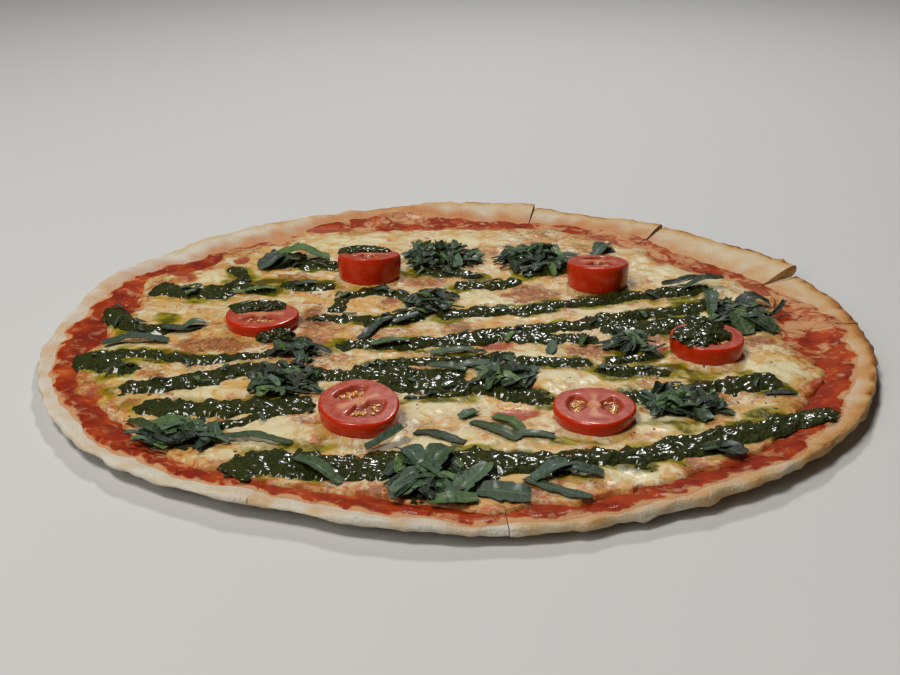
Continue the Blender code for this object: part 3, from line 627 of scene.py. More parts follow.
def crust_profile(number, angles):
    """One ring of dough for each angle: over the top, round the rim and back below."""
    reach = crust_reach(angles)[:, None]
    arc = rim_arc(angles[:, None])
    flat = np.broadcast_to(FLAT_RADII, (len(angles), len(FLAT_RADII)))
    rising = RISING_FROM + (reach - CREST_INSET - RISING_FROM) * np.linspace(0.0, 1.0, RISING_STATIONS)
    radii = np.concatenate([flat, rising], axis=1)
    heights = crust_top(number, angles[:, None], radii)
    crest = heights[:, -1:]
    ragged = 0.6 * lumps(arc, 0.0, 7.0, 81) + 0.4 * lumps(arc, 0.0, 2.6, 82)
    lift = np.minimum(from_slices(LOWER_EDGE_COLUMN, number, angles)[:, None] + ragged, crest - 1.4)
    corners = [(reach - CREST_INSET, crest), (reach - CREST_ROUNDING, crest - 0.7 * CREST_ROUNDING)]
    corners += [(reach, 0.5 * (crest + lift)), (reach - LOWER_EDGE_INSET, lift + 0.15)]
    corners += [(reach - inset, portion * lift) for inset, portion in UNDER_CURL[:2]]
    route = np.stack([np.concatenate(pair, axis=1) for pair in corners])
    wall = along(route, np.linspace(0.0, 1.0, WALL_STATIONS + 1)[1:])
    wall_heights = wall[:, :, 1].T
    wall_radii = wall[:, :, 0].T + 0.4 * rough(arc, 3.0 * wall_heights, 3.2, 84)
    radii = np.concatenate([radii, wall_radii, reach - UNDER_CURL[2][0], 0.0 * reach], axis=1)
    heights = np.concatenate([heights, np.maximum(wall_heights, 0.0), 0.0 * reach, 0.0 * reach], axis=1)
    marks = crust_marks(arc, angles, reach - radii, radii, heights, 0.5 * (crest + lift))
    return radii, heights, marks


def crust_marks(arc, angles, inset, radii, heights, half_way):
    """How toasted the dough is, and where sauce stained it."""
    edge = smooth_step((7.0 - inset) / 6.0)
    baked = around(GOLDEN, angles)[:, None]
    ridge = np.exp(-((1.0 - inset) / 0.5) ** 2) * (heights > half_way)
    mark = baked * (0.4 + 0.6 * edge) + 0.16 * rough(arc, heights + radii, 6.0, 83) * (0.4 + edge)
    mark = mark + 0.8 * ridge * baked * np.clip(0.3 + lumps(arc, 0.0, 4.0, 86), 0.0, 1.0)
    outside = np.zeros(radii.shape, dtype=bool)
    outside[:, -(WALL_STATIONS + 1):] = True
    past_sauce = radii - sauce_reach(angles)[:, None]
    soaked = 1.0 - smooth_step((past_sauce - 0.5 - 2.5 * lumps(arc, 0.0, 6.0, 85)) / 8.0)
    red = around(WASH, angles)[:, None] * np.where(outside, 0.12, soaked)
    return {"golden": np.clip(mark, 0.0, 1.0), "wash": np.clip(red, 0.0, 1.0)}


crust = build_layer("crust", 1.0, CUT_WIDTH, crust_profile, dough)

# %% [markdown]
# ## Tomato sauce
#
# Cooked sauce is a thin, wet, pulpy layer. What shows is the ring between cheese and rim: deep
# red where it is thick, orange and see-through at its edge, where only oil has soaked the dough.
# It could be a colour on the dough, but a layer of its own has an edge that catches the light
# and shows at the cuts. It is the same loft as the crust, a little higher.

# %% Sauce material
# Cooked tomato: wet pulp, so a soft broken shine over deep red, and orange where it is thin.
sauce_look, tree, shader, place = start_material("tomato sauce", {
    "IOR": 1.35, "Specular IOR Level": 0.18, "Coat Weight": 0.03, "Coat Roughness": 0.1,
})
thin = add(tree, PAINTED, attribute_name="thin").outputs["Fac"]
pulp = add(tree, NOISE, {"Vector": place, "Scale": scale_of(8.0), "Detail": 5.0, "Distortion": 0.3})
fine = add(tree, NOISE, {"Vector": place, "Scale": scale_of(1.3), "Detail": 4.0})
milk = add(tree, NOISE, {"Vector": place, "Scale": scale_of(5.0), "Detail": 4.0, "Distortion": 1.2})
depth = add(tree, RANGE, {0: pulp, 1: 0.3, 2: 0.76})
red = add(tree, RAMP, {0: depth}, stops=(
    (0.0, "#741804"), (0.4, "#902A04"), (0.75, "#AA3E0A"), (1.0, "#C46A26"),
))
mottled = add(tree, MATH, {0: thin, 1: 0.6, 2: milk}, operation="MULTIPLY_ADD")
bare = add(tree, RANGE, {0: mottled, 1: 0.62, 2: 0.84, 4: 0.95})
edged = add(tree, MIX, {0: bare, 6: red, 7: "#C39164"})
wet = add(tree, RANGE, {0: fine, 1: 0.3, 2: 0.7, 3: 0.5, 4: 0.75})
height = add(tree, MATH, {0: pulp, 1: 2.0, 2: fine}, operation="MULTIPLY_ADD")
bump = add(tree, BUMP, {"Strength": 0.5, "Distance": 0.0006, "Height": height})
fill(tree, shader, {"Base Color": edged, "Roughness": wet, "Normal": bump})

# %% Sauce
SAUCE_INNER_RADII = (0.0, 60.0)
SAUCE_RING_FROM = 98.0
SAUCE_STATIONS = 36
UNDER_STEP = 6


def sauce_profile(number, angles):
    """One ring of sauce for each angle, and how thin it lies."""
    reach = sauce_reach(angles)[:, None]
    outer = SAUCE_RING_FROM + (reach - SAUCE_RING_FROM) * np.linspace(0.0, 1.0, SAUCE_STATIONS)
    inner = np.broadcast_to(SAUCE_INNER_RADII, (len(angles), len(SAUCE_INNER_RADII)))
    radii = np.concatenate([inner, outer], axis=1)
    tops = sauce_top(number, angles[:, None], radii)
    under_radii = radii[:, ::-UNDER_STEP]
    under = crust_top(number, angles[:, None], under_radii) - 0.25
    inset = reach - radii
    arc = rim_arc(angles[:, None])
    thin_edge = 1.0 - smooth_step((inset - 0.2 - 1.2 * lumps(arc, 0.0, 4.0, 91)) / 1.6)
    broken = 0.1 + 0.25 * smooth_step(np.sin(np.radians(angles[:, None] + 25.0)) / 0.3 - 0.3)
    thin_edge = np.maximum(thin_edge, broken * (1.0 + 1.2 * rough(arc, radii, 12.0, 93)))
    marks = {"thin": np.concatenate([thin_edge, np.ones(under.shape)], axis=1)}
    return np.concatenate([radii, under_radii], axis=1), np.concatenate([tops, under], axis=1), marks


sauce = build_layer("tomato_sauce", 1.0, CUT_WIDTH, sauce_profile, sauce_look)

# %% [markdown]
# ## Melted cheese
#
# Mozzarella melts to a cream sheet with a soft shine. A displaced grid could make it, but the
# same loft follows the crust exactly. Painted marks say where it is pale, browned, red or oily,
# and noise in the material tears those marks up finer than the mesh can.

# %% Cheese colours
# Each finish is laid over those before it: the noise that tears it, its grain in millimetres, the
# painted marks that raise or lower it, where it starts and is full, and how much of it shows
FINISHES = (
    ("#C7963A", 9.0, 1.0, {"red": 0.2, "browned": 0.14, "pale": -0.05}, 0.46, 0.60, 0.8),
    ("#BC6224", 5.0, 1.6, {"red": 0.3, "browned": 0.17, "pale": -0.1}, 0.56, 0.70, 0.85),
    ("#845022", 4.0, 2.4, {"browned": 0.22, "pale": -0.2}, 0.60, 0.76, 0.75),
    ("#9A3310", 5.0, 1.2, {"red": 0.5, "browned": 0.05, "pale": -0.2}, 0.66, 0.90, 0.9),
    ("#92850A", 9.0, 0.5, {"oil": 0.66}, 0.66, 0.96, 0.95),
    ("#4B4606", 6.0, 0.5, {"oil": 0.8}, 0.98, 1.26, 0.9),
)
# Thin streaks where fat and milk browned along the folds: colour, spacing, swirl, width, mark
STREAKS = (
    ("#7A4418", 7.0, 2.0, 0.040, "browned"),
    ("#35210E", 4.5, 2.6, 0.030, "browned"),
    ("#A8481C", 8.0, 1.6, 0.045, "red"),
)

# %% Cheese material
# Melted mozzarella: cream, with a soft shine of fat, and light goes a little way into it.
cheese_look, tree, shader, place = start_material("melted cheese", {
    "IOR": 1.42, "Coat Weight": 0.06, "Coat Roughness": 0.12, "Subsurface Weight": 0.1,
    "Subsurface Radius": (0.004, 0.002, 0.001), "Subsurface Scale": 0.4,
})
marks = {
    label: add(tree, PAINTED, attribute_name=label).outputs["Fac"]
    for label in ("pale", "browned", "red", "oil")
}
broad = add(tree, NOISE, {"Vector": place, "Scale": scale_of(12.0), "Detail": 8.0, "Distortion": 1.0})
strands = add(tree, NOISE, {"Vector": place, "Scale": scale_of(4.5), "Detail": 3.0, "Distortion": 1.6})
fine = add(tree, NOISE, {"Vector": place, "Scale": scale_of(1.0), "Detail": 4.0})
toned = add(tree, RANGE, {0: broad, 1: 0.36, 2: 0.64})
light = add(tree, RANGE, {0: strands, 1: 0.5, 2: 0.62, 4: 0.75})
cream = add(tree, MATH, {0: marks["pale"], 1: 0.65}, operation="MULTIPLY")
layer = add(tree, MIX, {0: toned, 6: "#D2C49C", 7: "#C6A870"})
layer = add(tree, MIX, {0: light, 6: layer, 7: "#DFD5B6"})
layer = add(tree, MIX, {0: cream, 6: layer, 7: "#D8CC9F"})
for number, (code, grain_mm, swirl, pulls, low, high, most) in enumerate(FINISHES):
    step = (0.31 * number, 0.17 * number, 0.0)
    moved = add(tree, "ShaderNodeVectorMath", {0: place, 1: step}, operation="ADD")
    torn = add(tree, NOISE, {
        "Vector": moved, "Scale": scale_of(grain_mm), "Detail": 3.0, "Distortion": swirl,
    })
    for label, pull in pulls.items():
        torn = add(tree, MATH, {0: marks[label], 1: pull, 2: torn}, operation="MULTIPLY_ADD")
    share = add(tree, RANGE, {0: torn, 1: low, 2: high, 4: most})
    layer = add(tree, MIX, {0: share, 6: layer, 7: code})
for number, (code, spacing_mm, swirl, wide, label) in enumerate(STREAKS):
    step = (0.23, 0.41 * number, 0.1)
    moved = add(tree, "ShaderNodeVectorMath", {0: place, 1: step}, operation="ADD")
    folds = add(tree, NOISE, {
        "Vector": moved, "Scale": scale_of(spacing_mm), "Detail": 2.0, "Distortion": swirl,
    })
    off = add(tree, MATH, {0: folds, 1: 0.5}, operation="SUBTRACT")
    off = add(tree, MATH, {0: off}, operation="ABSOLUTE")
    line = add(tree, RANGE, {0: off, 2: wide, 3: 0.95, 4: 0.0})
    shown = add(tree, MATH, {0: line, 1: marks[label]}, operation="MULTIPLY", use_clamp=True)
    layer = add(tree, MIX, {0: shown, 6: layer, 7: code})
dry = add(tree, RANGE, {0: marks["oil"], 1: 0.1, 2: 0.7, 3: 0.5, 4: 0.3})
shine = add(tree, RANGE, {0: marks["oil"], 1: 0.1, 2: 0.7, 3: 0.5, 4: 0.12})
height = add(tree, MATH, {0: strands, 1: 4.0, 2: fine}, operation="MULTIPLY_ADD")
bump = add(tree, BUMP, {"Strength": 0.5, "Distance": 0.0002, "Height": height})
fill(tree, shader, {"Base Color": layer, "Roughness": dry, "Specular IOR Level": shine, "Normal": bump})


# %% Cheese
CHEESE_STATIONS = 104
TOP_SHARE = 0.992


def cheese_marks(x, y, inset):
    """Where the cheese is pale, browned, red or oily, from 0 to 1."""
    _height, gap = paste_field(x, y)
    pale = patches(x, y, PALE_POOLS, 101)
    browned = patches(x, y, BROWNED, 111) + 0.5 * smooth_step(1.4 * rough(x, y, 13.0, 113) + 0.2)
    browned = np.clip(browned, 0.0, 1.0) * (1.0 - 0.8 * pale)
    edge = 1.0 - smooth_step((inset + 3.5 * lumps(x, y, 6.0, 121)) / 8.0)
    red = np.maximum(patches(x, y, RED_SHOWS, 131), 0.34 * edge)
    spread = smooth_step(0.6 + 1.2 * lumps(x, y, 15.0, 140))
    halo = spread * (1.0 - smooth_step((gap - 1.0 - 2.8 * lumps(x, y, 6.0, 141)) / 3.4))
    pools = patches(x, y, OIL_POOLS, 143) * (0.72 + 0.6 * rough(x, y, 6.0, 145))
    oil = np.maximum(0.85 * halo, np.clip(pools, 0.0, 1.0))
    return {"pale": pale, "browned": browned, "red": red * (1.0 - 0.5 * oil), "oil": oil}


def cheese_profile(number, angles):
    """One ring of cheese for each angle, and its painted marks."""
    reach = cheese_reach(angles)[:, None]
    radii = TOP_SHARE * reach * np.linspace(0.0, 1.0, CHEESE_STATIONS)[None]
    tops = cheese_top(number, angles[:, None], radii)
    side = crust_top(number, angles[:, None], reach) + LAYER_GAP + 0.8
    under_radii = np.concatenate([reach, 0.9 * reach, 0.0 * reach], axis=1)
    under = crust_top(number, angles[:, None], under_radii) + LAYER_GAP
    all_radii = np.concatenate([radii, reach, under_radii], axis=1)
    heights = np.concatenate([tops, side, under], axis=1)
    x = all_radii * np.cos(np.radians(angles))[:, None]
    y = all_radii * np.sin(np.radians(angles))[:, None]
    return all_radii, heights, cheese_marks(x, y, reach - all_radii)


cheese = build_layer("melted_cheese", 0.75, 0.0, cheese_profile, cheese_look)

# %% [markdown]
# ## Herb paste
#
# Basil ground with oil is a thick, wet, granular paste, almost black-green, with a glint on each
# grain. Curves with a bevel would give smooth sausages, and these bands run into each other and
# into mounds, so it is a height field on a fine square grid, and only the cells that hold paste
# are kept. Their edge lies inside the cheese, so the outline that shows is where both meet.

# %% Paste material
# Basil ground with oil: almost black, with a coat of oil that glints on each crumb.
paste_look, tree, shader, place = start_material("herb paste", {
    "Roughness": 0.6, "IOR": 1.45, "Specular IOR Level": 0.12, "Coat Weight": 0.7, "Coat Roughness": 0.17,
})
grain = add(tree, NOISE, {"Vector": place, "Scale": scale_of(0.75), "Detail": 4.0, "Roughness": 0.62})
patch = add(tree, NOISE, {"Vector": place, "Scale": scale_of(7.0), "Detail": 4.0})
share = add(tree, RANGE, {0: grain, 1: 0.36, 2: 0.68})
green = add(tree, MIX, {0: share, 6: "#121804", 7: "#4A5318"})
tone = add(tree, RANGE, {0: patch, 1: 0.42, 2: 0.7, 4: 0.5})
warm = add(tree, MIX, {0: tone, 6: green, 7: "#4A4A0E"})
crumbs = add(tree, "ShaderNodeTexVoronoi", {"Vector": place, "Scale": scale_of(1.3)})
height = add(tree, MATH, {0: crumbs, 1: -0.8, 2: grain}, operation="MULTIPLY_ADD")
bump = add(tree, BUMP, {"Strength": 1.0, "Distance": 0.0015, "Height": height})
fill(tree, shader, {"Base Color": warm, "Normal": bump})

# %% Paste
PASTE_CELL = 0.64
PASTE_SMOOTH_ANGLE = 80.0
PASTE_AREA = (-138.0, 128.0, -136.0, 92.0)
# Name, middle, half widths, height, a third of its strips, heading
HEAPS = (
    ("basil_heap_far", (-6, 68), (18, 18), 8.0, 22, 60),
    ("basil_heap_far_right", (33, 65), (17, 18), 7.0, 24, 70),
    ("basil_heap_middle", (-9, 16), (10, 12), 5.0, 9, 100),
    ("basil_heap_right", (106, 2), (13, 14), 6.0, 12, 20),
    ("basil_heap_right_middle", (61, -24), (10, 9), 5.0, 7, 60),
    ("basil_heap_middle_right", (16, -51), (10, 14), 5.0, 11, 80),
    ("basil_heap_middle_left", (-57, -58), (13, 13), 6.0, 14, 120),
    ("basil_heap_near_right", (72, -74), (14, 11), 6.0, 16, 100),
    ("basil_heap_near", (-9, -123), (12, 14), 6.0, 15, 110),
    ("basil_heap_near_left", (-84, -95), (16, 8), 5.0, 13, 140),
    ("basil_heap_left", (-56, -31), (9, 9), 5.0, 8, 130),
)


def mounds(x, y):
    """Paste that holds the heaps of basil together."""
    height = np.full(np.shape(x), -PASTE_SINK)
    torn = 0.3 * lumps(x, y, 5.0, 151) + 0.2 * lumps(x, y, 2.2, 152)
    for _name, middle, reach, tall, _count, _heading in HEAPS:
        away = np.hypot((x - middle[0]) / (0.62 * reach[0]), (y - middle[1]) / (0.62 * reach[1])) + torn
        height = np.maximum(height, np.maximum(0.36 * tall * (1.0 - away ** 2), -PASTE_SINK))
    return height


def paste_height(x, y):
    """Height of the paste over the cheese, with its grains."""
    height = np.maximum(paste_field(x, y)[0], mounds(x, y))
    grains = 0.4 * lumps(x, y, 1.5, 161) + 0.34 * lumps(x, y, 0.9, 162) + 0.36 * lumps(x, y, 3.5, 163)
    return np.maximum(height + grains * smooth_step((height + 0.5) / 0.7), -PASTE_SINK)


def height_mesh(x, y, top, bottom, keep):
    """Closed mesh over the kept cells of a square grid."""
    corner = np.zeros((keep.shape[0] + 1, keep.shape[1] + 1), dtype=bool)
    for row in (0, 1):
        for column in (0, 1):
            corner[row:row + keep.shape[0], column:column + keep.shape[1]] |= keep
    count = int(corner.sum())
    number = -np.ones(corner.shape, dtype=int)
    number[corner] = np.arange(count)
    upper = np.stack([x[corner], y[corner], top[corner]], axis=1)
    lower = np.stack([x[corner], y[corner], bottom[corner]], axis=1)
    rows, columns = np.nonzero(keep)
    quad = np.stack([number[rows, columns], number[rows + 1, columns], number[rows + 1, columns + 1],
                     number[rows, columns + 1]], axis=1)
    faces = quad.tolist() + (quad[:, ::-1] + count).tolist()
    padded = np.pad(keep, 1)
    sides = (((-1, 0), 0, 3), ((1, 0), 2, 1), ((0, -1), 1, 0), ((0, 1), 3, 2))
    for (down, over), start, end in sides:
        open_side = ~padded[rows + 1 + down, columns + 1 + over]
        first, second = quad[open_side][:, start], quad[open_side][:, end]
        faces += np.stack([second, first, first + count, second + count], axis=1).tolist()
    return np.concatenate([upper, lower]), faces


def square_grid(low_x, high_x, low_y, high_y, cell):
    """Places of a square grid."""
    across, away = np.arange(low_x, high_x, cell), np.arange(low_y, high_y, cell)
    return np.meshgrid(across, away, indexing="ij")


grid_x, grid_y = square_grid(*PASTE_AREA, PASTE_CELL)
stand = paste_height(grid_x, grid_y)
under = cheese_surface(grid_x, grid_y)
deep = stand > -0.5 * PASTE_SINK
keep = deep[:-1, :-1] | deep[1:, :-1] | deep[:-1, 1:] | deep[1:, 1:]
shape = height_mesh(grid_x, grid_y, under + stand, under - PASTE_SINK - 0.3, keep)
paste = make_piece("herb_paste", *shape, paste_look, smooth_angle=PASTE_SMOOTH_ANGLE)

# %% [markdown]
# ## What the leaves lie on
#
# A coarse map of the highest thing at each place lets every leaf rest on what is under it.

# %% Resting map
MAP_HALF = 150
map_x, map_y = square_grid(-MAP_HALF, MAP_HALF + 1, -MAP_HALF, MAP_HALF + 1, 1.0)
paste_there = np.maximum(paste_field(map_x, map_y)[0], mounds(map_x, map_y))
resting = cheese_surface(map_x, map_y) + np.maximum(0.0, paste_there)


def rest_height(x, y, reach):
    """The highest surface within reach of each place."""
    found = np.zeros(np.shape(x))
    for turn in np.radians(np.arange(0, 360, 45)):
        for out in (0.0, 0.5, 1.0):
            column = np.rint(x + out * reach * np.cos(turn) + MAP_HALF).astype(int)
            row = np.rint(y + out * reach * np.sin(turn) + MAP_HALF).astype(int)
            found = np.maximum(found, resting[column.clip(0, 2 * MAP_HALF), row.clip(0, 2 * MAP_HALF)])
    return found


print("highest resting place:", round(float(resting.max()), 2), "mm")

# %% [markdown]
# ## Cherry tomato halves
#
# Each half lies on its round side. Its cut face has a firm ring of flesh, two wet seed chambers
# with a pale core between them, and seeds in jelly. A cut sphere would leave a flat face with
# too few points, so each half is rings: up the skin, and then inwards over a face that is
# pressed down where the chambers are. A painted mark says what each place is.

# %% Tomato and seed materials
# Cherry tomato: the skin is smooth and bright, and the wet cut flesh is duller and paler.
tomato_look, tree, shader, place = start_material("cherry tomato", {
    "IOR": 1.38, "Coat Weight": 0.2, "Coat Roughness": 0.1, "Subsurface Weight": 0.2,
    "Subsurface Radius": (0.004, 0.001, 0.0005), "Subsurface Scale": 0.5,
})
flesh, gel, core = (
    add(tree, PAINTED, attribute_name=label).outputs["Fac"] for label in ("flesh", "gel", "core")
)
fibre = add(tree, NOISE, {"Vector": place, "Scale": scale_of(2.5), "Detail": 4.0})
tint = add(tree, RANGE, {0: fibre, 1: 0.35, 2: 0.65})
meat = add(tree, MIX, {0: tint, 6: "#A23018", 7: "#B65238"})
skin = add(tree, MIX, {0: flesh, 6: "#C42C06", 7: meat})
jelly = add(tree, MIX, {0: gel, 6: skin, 7: "#8A2E0A"})
pale = add(tree, MIX, {0: core, 6: jelly, 7: "#CB8E5E"})
wet = add(tree, RANGE, {0: flesh, 3: 0.2, 4: 0.46})
strength = add(tree, MATH, {0: flesh, 1: 0.3}, operation="MULTIPLY")
bump = add(tree, BUMP, {"Strength": strength, "Distance": 0.0004, "Height": fibre})
fill(tree, shader, {"Base Color": pale, "Roughness": wet, "Normal": bump})

# Seeds in their jelly: yellow and very wet.
seed_look, tree, shader, place = start_material("tomato seed", {
    "Roughness": 0.25, "IOR": 1.4, "Coat Weight": 0.6, "Coat Roughness": 0.06,
})
fleck = add(tree, NOISE, {"Vector": place, "Scale": scale_of(0.9), "Detail": 2.0})
yolk = add(tree, MIX, {0: fleck, 6: "#D9A85A", 7: "#B5651F"})
fill(tree, shader, {"Base Color": yolk})

# %% Tomato halves
SIDES = 72
SKIN_RINGS = 26
FACE_RINGS = np.linspace(0.97, 0.03, 30)
CHAMBERS = {
    "tomato_near_left": ((-78, 66), (100, 52)), "tomato_near_right": ((180, 50), (4, 48)),
    "tomato_left": ((-95, 60), (85, 50)), "tomato_right": ((-60, 58), (120, 50)),
    "tomato_far_left": ((-90, 55), (90, 50)), "tomato_far_right": ((-90, 60), (90, 55)),
}


def turned_from(turns, direction):
    """Degrees between each turn and a direction, from 0 to 180."""
    return np.abs((np.degrees(turns) - direction + 180.0) % 360.0 - 180.0)


def chamber_marks(name, out, turns):
    """1 inside the seed chambers of a cut face, and 0 outside them."""
    mark = np.zeros(np.shape(turns))
    for direction, half in CHAMBERS[name]:
        inside = smooth_step((half - turned_from(turns, direction)) / 14.0 + 0.3 * (out - 0.4))
        mark = np.maximum(mark, inside * smooth_step((out - 0.16) / 0.1) * smooth_step((0.74 - out) / 0.1))
    return mark


def core_marks(name, out, turns, gel):
    """The pale core in the middle and the walls between the chambers."""
    between = np.min([turned_from(turns, direction) for direction, _half in CHAMBERS[name]], axis=0)
    walls = smooth_step((between - 72.0) / 14.0) * smooth_step((0.72 - out) / 0.2)
    return 0.75 * np.maximum(smooth_step((0.3 - out) / 0.2), walls) * (1.0 - gel)


def place_on_fruit(points, row, level):
    """Turns points of a half's own frame, slopes them to the cut face, and moves them."""
    turned = points @ np.array(Matrix.Rotation(math.radians(row[5]), 3, "Z")).T
    turned[:, 2] *= 1.0 + math.tan(math.radians(row[6])) * turned[:, 1] / row[4]
    return turned + np.array([row[1][0], row[1][1], level])


def tomato_half(row, level):
    """Rings up the skin, and then inwards over the cut face."""
    name, _place, width, depth, height, _turn, _slope = row
    turns = np.linspace(0.0, 2.0 * np.pi, SIDES, endpoint=False)
    cosines, sines, still = np.cos(turns), np.sin(turns), np.zeros(SIDES)
    oval = 1.0 + 0.018 * np.cos(3.0 * turns + len(name)) + 0.012 * np.cos(5.0 * turns)
    rings, marks = [], []
    profile = along(np.array(TOMATO_PROFILE), np.linspace(0.0, 1.0, SKIN_RINGS))
    for up, out in profile:
        x, y = 0.5 * width * out * oval * cosines, 0.5 * depth * out * oval * sines
        rings.append(np.stack([x, y, still + height * up], axis=1))
        marks.append(np.stack([still + smooth_step((up - 0.985) / 0.015), still, still], axis=1))
    rim = profile[-1][1]
    for out in FACE_RINGS:
        gel = chamber_marks(name, out, turns)
        dome = 0.25 * (1.0 - out ** 2) - 1.3 * gel
        dome = dome + 0.12 * lumps(6.0 * out * cosines, 6.0 * out * sines, 1.3, 171 + len(name))
        x, y = 0.5 * width * rim * out * oval * cosines, 0.5 * depth * rim * out * oval * sines
        rings.append(np.stack([x, y, height + dome], axis=1))
        marks.append(np.stack([still + 1.0, gel, core_marks(name, out, turns, gel)], axis=1))
    points = place_on_fruit(np.concatenate(rings), row, level)
    attributes = dict(zip(("flesh", "gel", "core"), np.concatenate(marks).T))
    return make_piece(name + "_flesh", points, ring_faces(len(rings), SIDES), tomato_look, attributes)


levels = {}
for row in TOMATOES:
    levels[row[0]] = float(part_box(row[0])[0][2]) / MM
    half = tomato_half(row, levels[row[0]])
    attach(half, "root")
    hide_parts(row[0])

# %% Seeds
SEEDS_IN_A_CHAMBER = 8


def seed_shape(length, width, sides=8, rings=6):
    """A flat drop, pointed at one end, as points and faces."""
    turns = np.linspace(0.0, 2.0 * np.pi, sides, endpoint=False)
    points = []
    for share in np.arange(rings + 1) / rings:
        girth = math.sin(math.pi * share) * (1.0 - 0.35 * share)
        x = length * (share - 0.5) + 0.0 * turns
        y, z = 0.5 * width * girth * np.cos(turns), 0.26 * width * girth * np.sin(turns)
        points.append(np.stack([x, y, z], axis=1))
    return np.concatenate(points), ring_faces(rings + 1, sides, capped=False)


draw = np.random.default_rng(180)
seed_shapes = []
for row in TOMATOES:
    for direction, spread in CHAMBERS[row[0]]:
        for number in range(SEEDS_IN_A_CHAMBER):
            angle = math.radians(direction + spread * (number - 3.5) / 4.6 + draw.uniform(-4, 4))
            out = 0.44 * draw.uniform(0.4, 0.62)
            points, faces = seed_shape(draw.uniform(2.6, 3.4), draw.uniform(1.5, 2.0))
            turn = np.array(Matrix.Rotation(angle + math.pi + draw.uniform(-0.4, 0.4), 3, "Z"))
            middle = np.array([row[2] * out * math.cos(angle), row[3] * out * math.sin(angle), row[4] - 0.85])
            seed_shapes.append((place_on_fruit(points @ turn.T + middle, row, levels[row[0]]), faces))
seeds = make_piece("tomato_seeds", *joined(seed_shapes), seed_look)

# %% [markdown]
# ## Paste on the tomatoes
#
# Three halves carry a little paste. A height field can't hang over a rim, so each dab is a
# lumpy egg, made from rings as the seeds are, with the same grain as the bands.


# %% Dabs
# Half, then each dab's middle and radii as the half's own millimetres over its foot
DABS = {
    "tomato_left": ((-2, 6.5, 4.8, 9, 4.2, 2.0), (4, 6, 4.8, 5, 4.2, 1.7), (-7, 4.5, 4.6, 4, 3.6, 1.5),
                    (6, -12.5, 0.6, 6, 3.6, 3.0), (2, -13, 0.2, 4, 3, 2.4)),
    "tomato_right": ((-3, 2, 6.6, 9.5, 7, 2.1), (3, 5, 6.6, 7, 5, 2.2), (-6, -2.5, 6.3, 5.5, 5, 1.7),
                     (3, -1, 6.4, 5, 4, 1.5)),
    "tomato_far_left": ((-3, 6.5, 9.8, 9, 4, 2.2), (2.5, 5.5, 9.8, 5.6, 4, 1.7),
                        (-8, 4.5, 9.4, 4.4, 4.2, 1.7)),
}


def lumpy_dab(middle, radii, seed, rings=26, sides=56):
    """An egg shape whose skin is as grainy as the paste."""
    turns = np.linspace(0.0, 2.0 * np.pi, sides, endpoint=False)
    wrap = np.abs(turns - np.pi) * 9.0
    points = []
    for index in range(rings + 1):
        tilt = math.pi * (index / rings - 0.5)
        flat = math.cos(tilt) + 0.001
        up = 0.7 * index
        grain = 1.0 + 0.22 * lumps(wrap, up, 1.3, seed) + 0.16 * lumps(wrap, up, 4.0, seed + 1)
        x, y = radii[0] * flat * np.cos(turns), radii[1] * flat * np.sin(turns)
        points.append(np.stack([x * grain, y * grain, radii[2] * math.sin(tilt) * grain], axis=1))
    return np.concatenate(points) + np.array(middle), ring_faces(rings + 1, sides)


dab_shapes = []
for row in TOMATOES:
    for number, spot in enumerate(DABS.get(row[0], ())):
        points, faces = lumpy_dab(spot[:3], spot[3:], 190 + 10 * number + len(row[0]))
        dab_shapes.append((place_on_fruit(points, row, levels[row[0]]), faces))
dabs = make_piece("paste_dabs", *joined(dab_shapes), paste_look, smooth_angle=PASTE_SMOOTH_ANGLE)

# %% [markdown]
# ## Shredded basil
#
# Basil wilts and curls on a hot pizza. Each shred is a thin strip with a fold along its middle
# and torn edges, dull blue-green on top and paler along the rib. A strip follows the surface, so
# it is given only its place, heading, length, width, bend, how high its start, middle and end
# stand, and how sharply it is folded. Geometry Nodes could scatter a heap, but here each strip
# bends to what it rests on, which is easier to say in a function.

# %% Leaf material
# A wilted basil leaf is dull and dark, with a faint waxy light along its folds.
# Tone, warmth and side are painted on each strip: how light it is, how yellow, and its margin.
leaf_look, tree, shader, place = start_material("basil leaf", {
    "IOR": 1.42, "Coat Weight": 0.08, "Coat Roughness": 0.2,
})
tone, warmth, side = (
    add(tree, PAINTED, attribute_name=label).outputs["Fac"] for label in ("tone", "warmth", "side")
)
mottle = add(tree, NOISE, {"Vector": place, "Scale": scale_of(1.6), "Detail": 4.0})
blend = add(tree, MATH, {0: mottle, 1: 0.8, 2: tone}, operation="MULTIPLY_ADD")
share = add(tree, RANGE, {0: blend, 1: 0.25, 2: 1.45})
cool = add(tree, RAMP, {0: share}, stops=(
    (0.0, "#0B100A"), (0.35, "#1D2A1C"), (0.7, "#3C5140"), (1.0, "#667E66"),
))
warm = add(tree, RAMP, {0: share}, stops=(
    (0.0, "#0C1005"), (0.35, "#22330F"), (0.7, "#456222"), (1.0, "#789447"),
))
green = add(tree, MIX, {0: warmth, 6: cool, 7: warm})
rib = add(tree, RANGE, {0: side, 2: 0.12, 3: 0.35, 4: 0.0})
lined = add(tree, MIX, {0: rib, 6: green, 7: "#6F8560"})
gloss = add(tree, RANGE, {0: mottle, 1: 0.3, 2: 0.7, 3: 0.42, 4: 0.72})
bump = add(tree, BUMP, {"Strength": 0.8, "Distance": 0.0008, "Height": mottle})
fill(tree, shader, {"Base Color": lined, "Roughness": gloss, "Normal": bump})

# %% Leaf shape
LEAF_THICKNESS = 0.22
LEAF_CLEARANCE = 0.15
LEAF_BLUNTNESS = 0.6
LEAF_STEP = 1.3
ACROSS = np.array([-1.0, -0.66, -0.3, 0.0, 0.3, 0.66, 1.0])
leaves, leaf_marks = [], []
hue = np.random.default_rng(205)


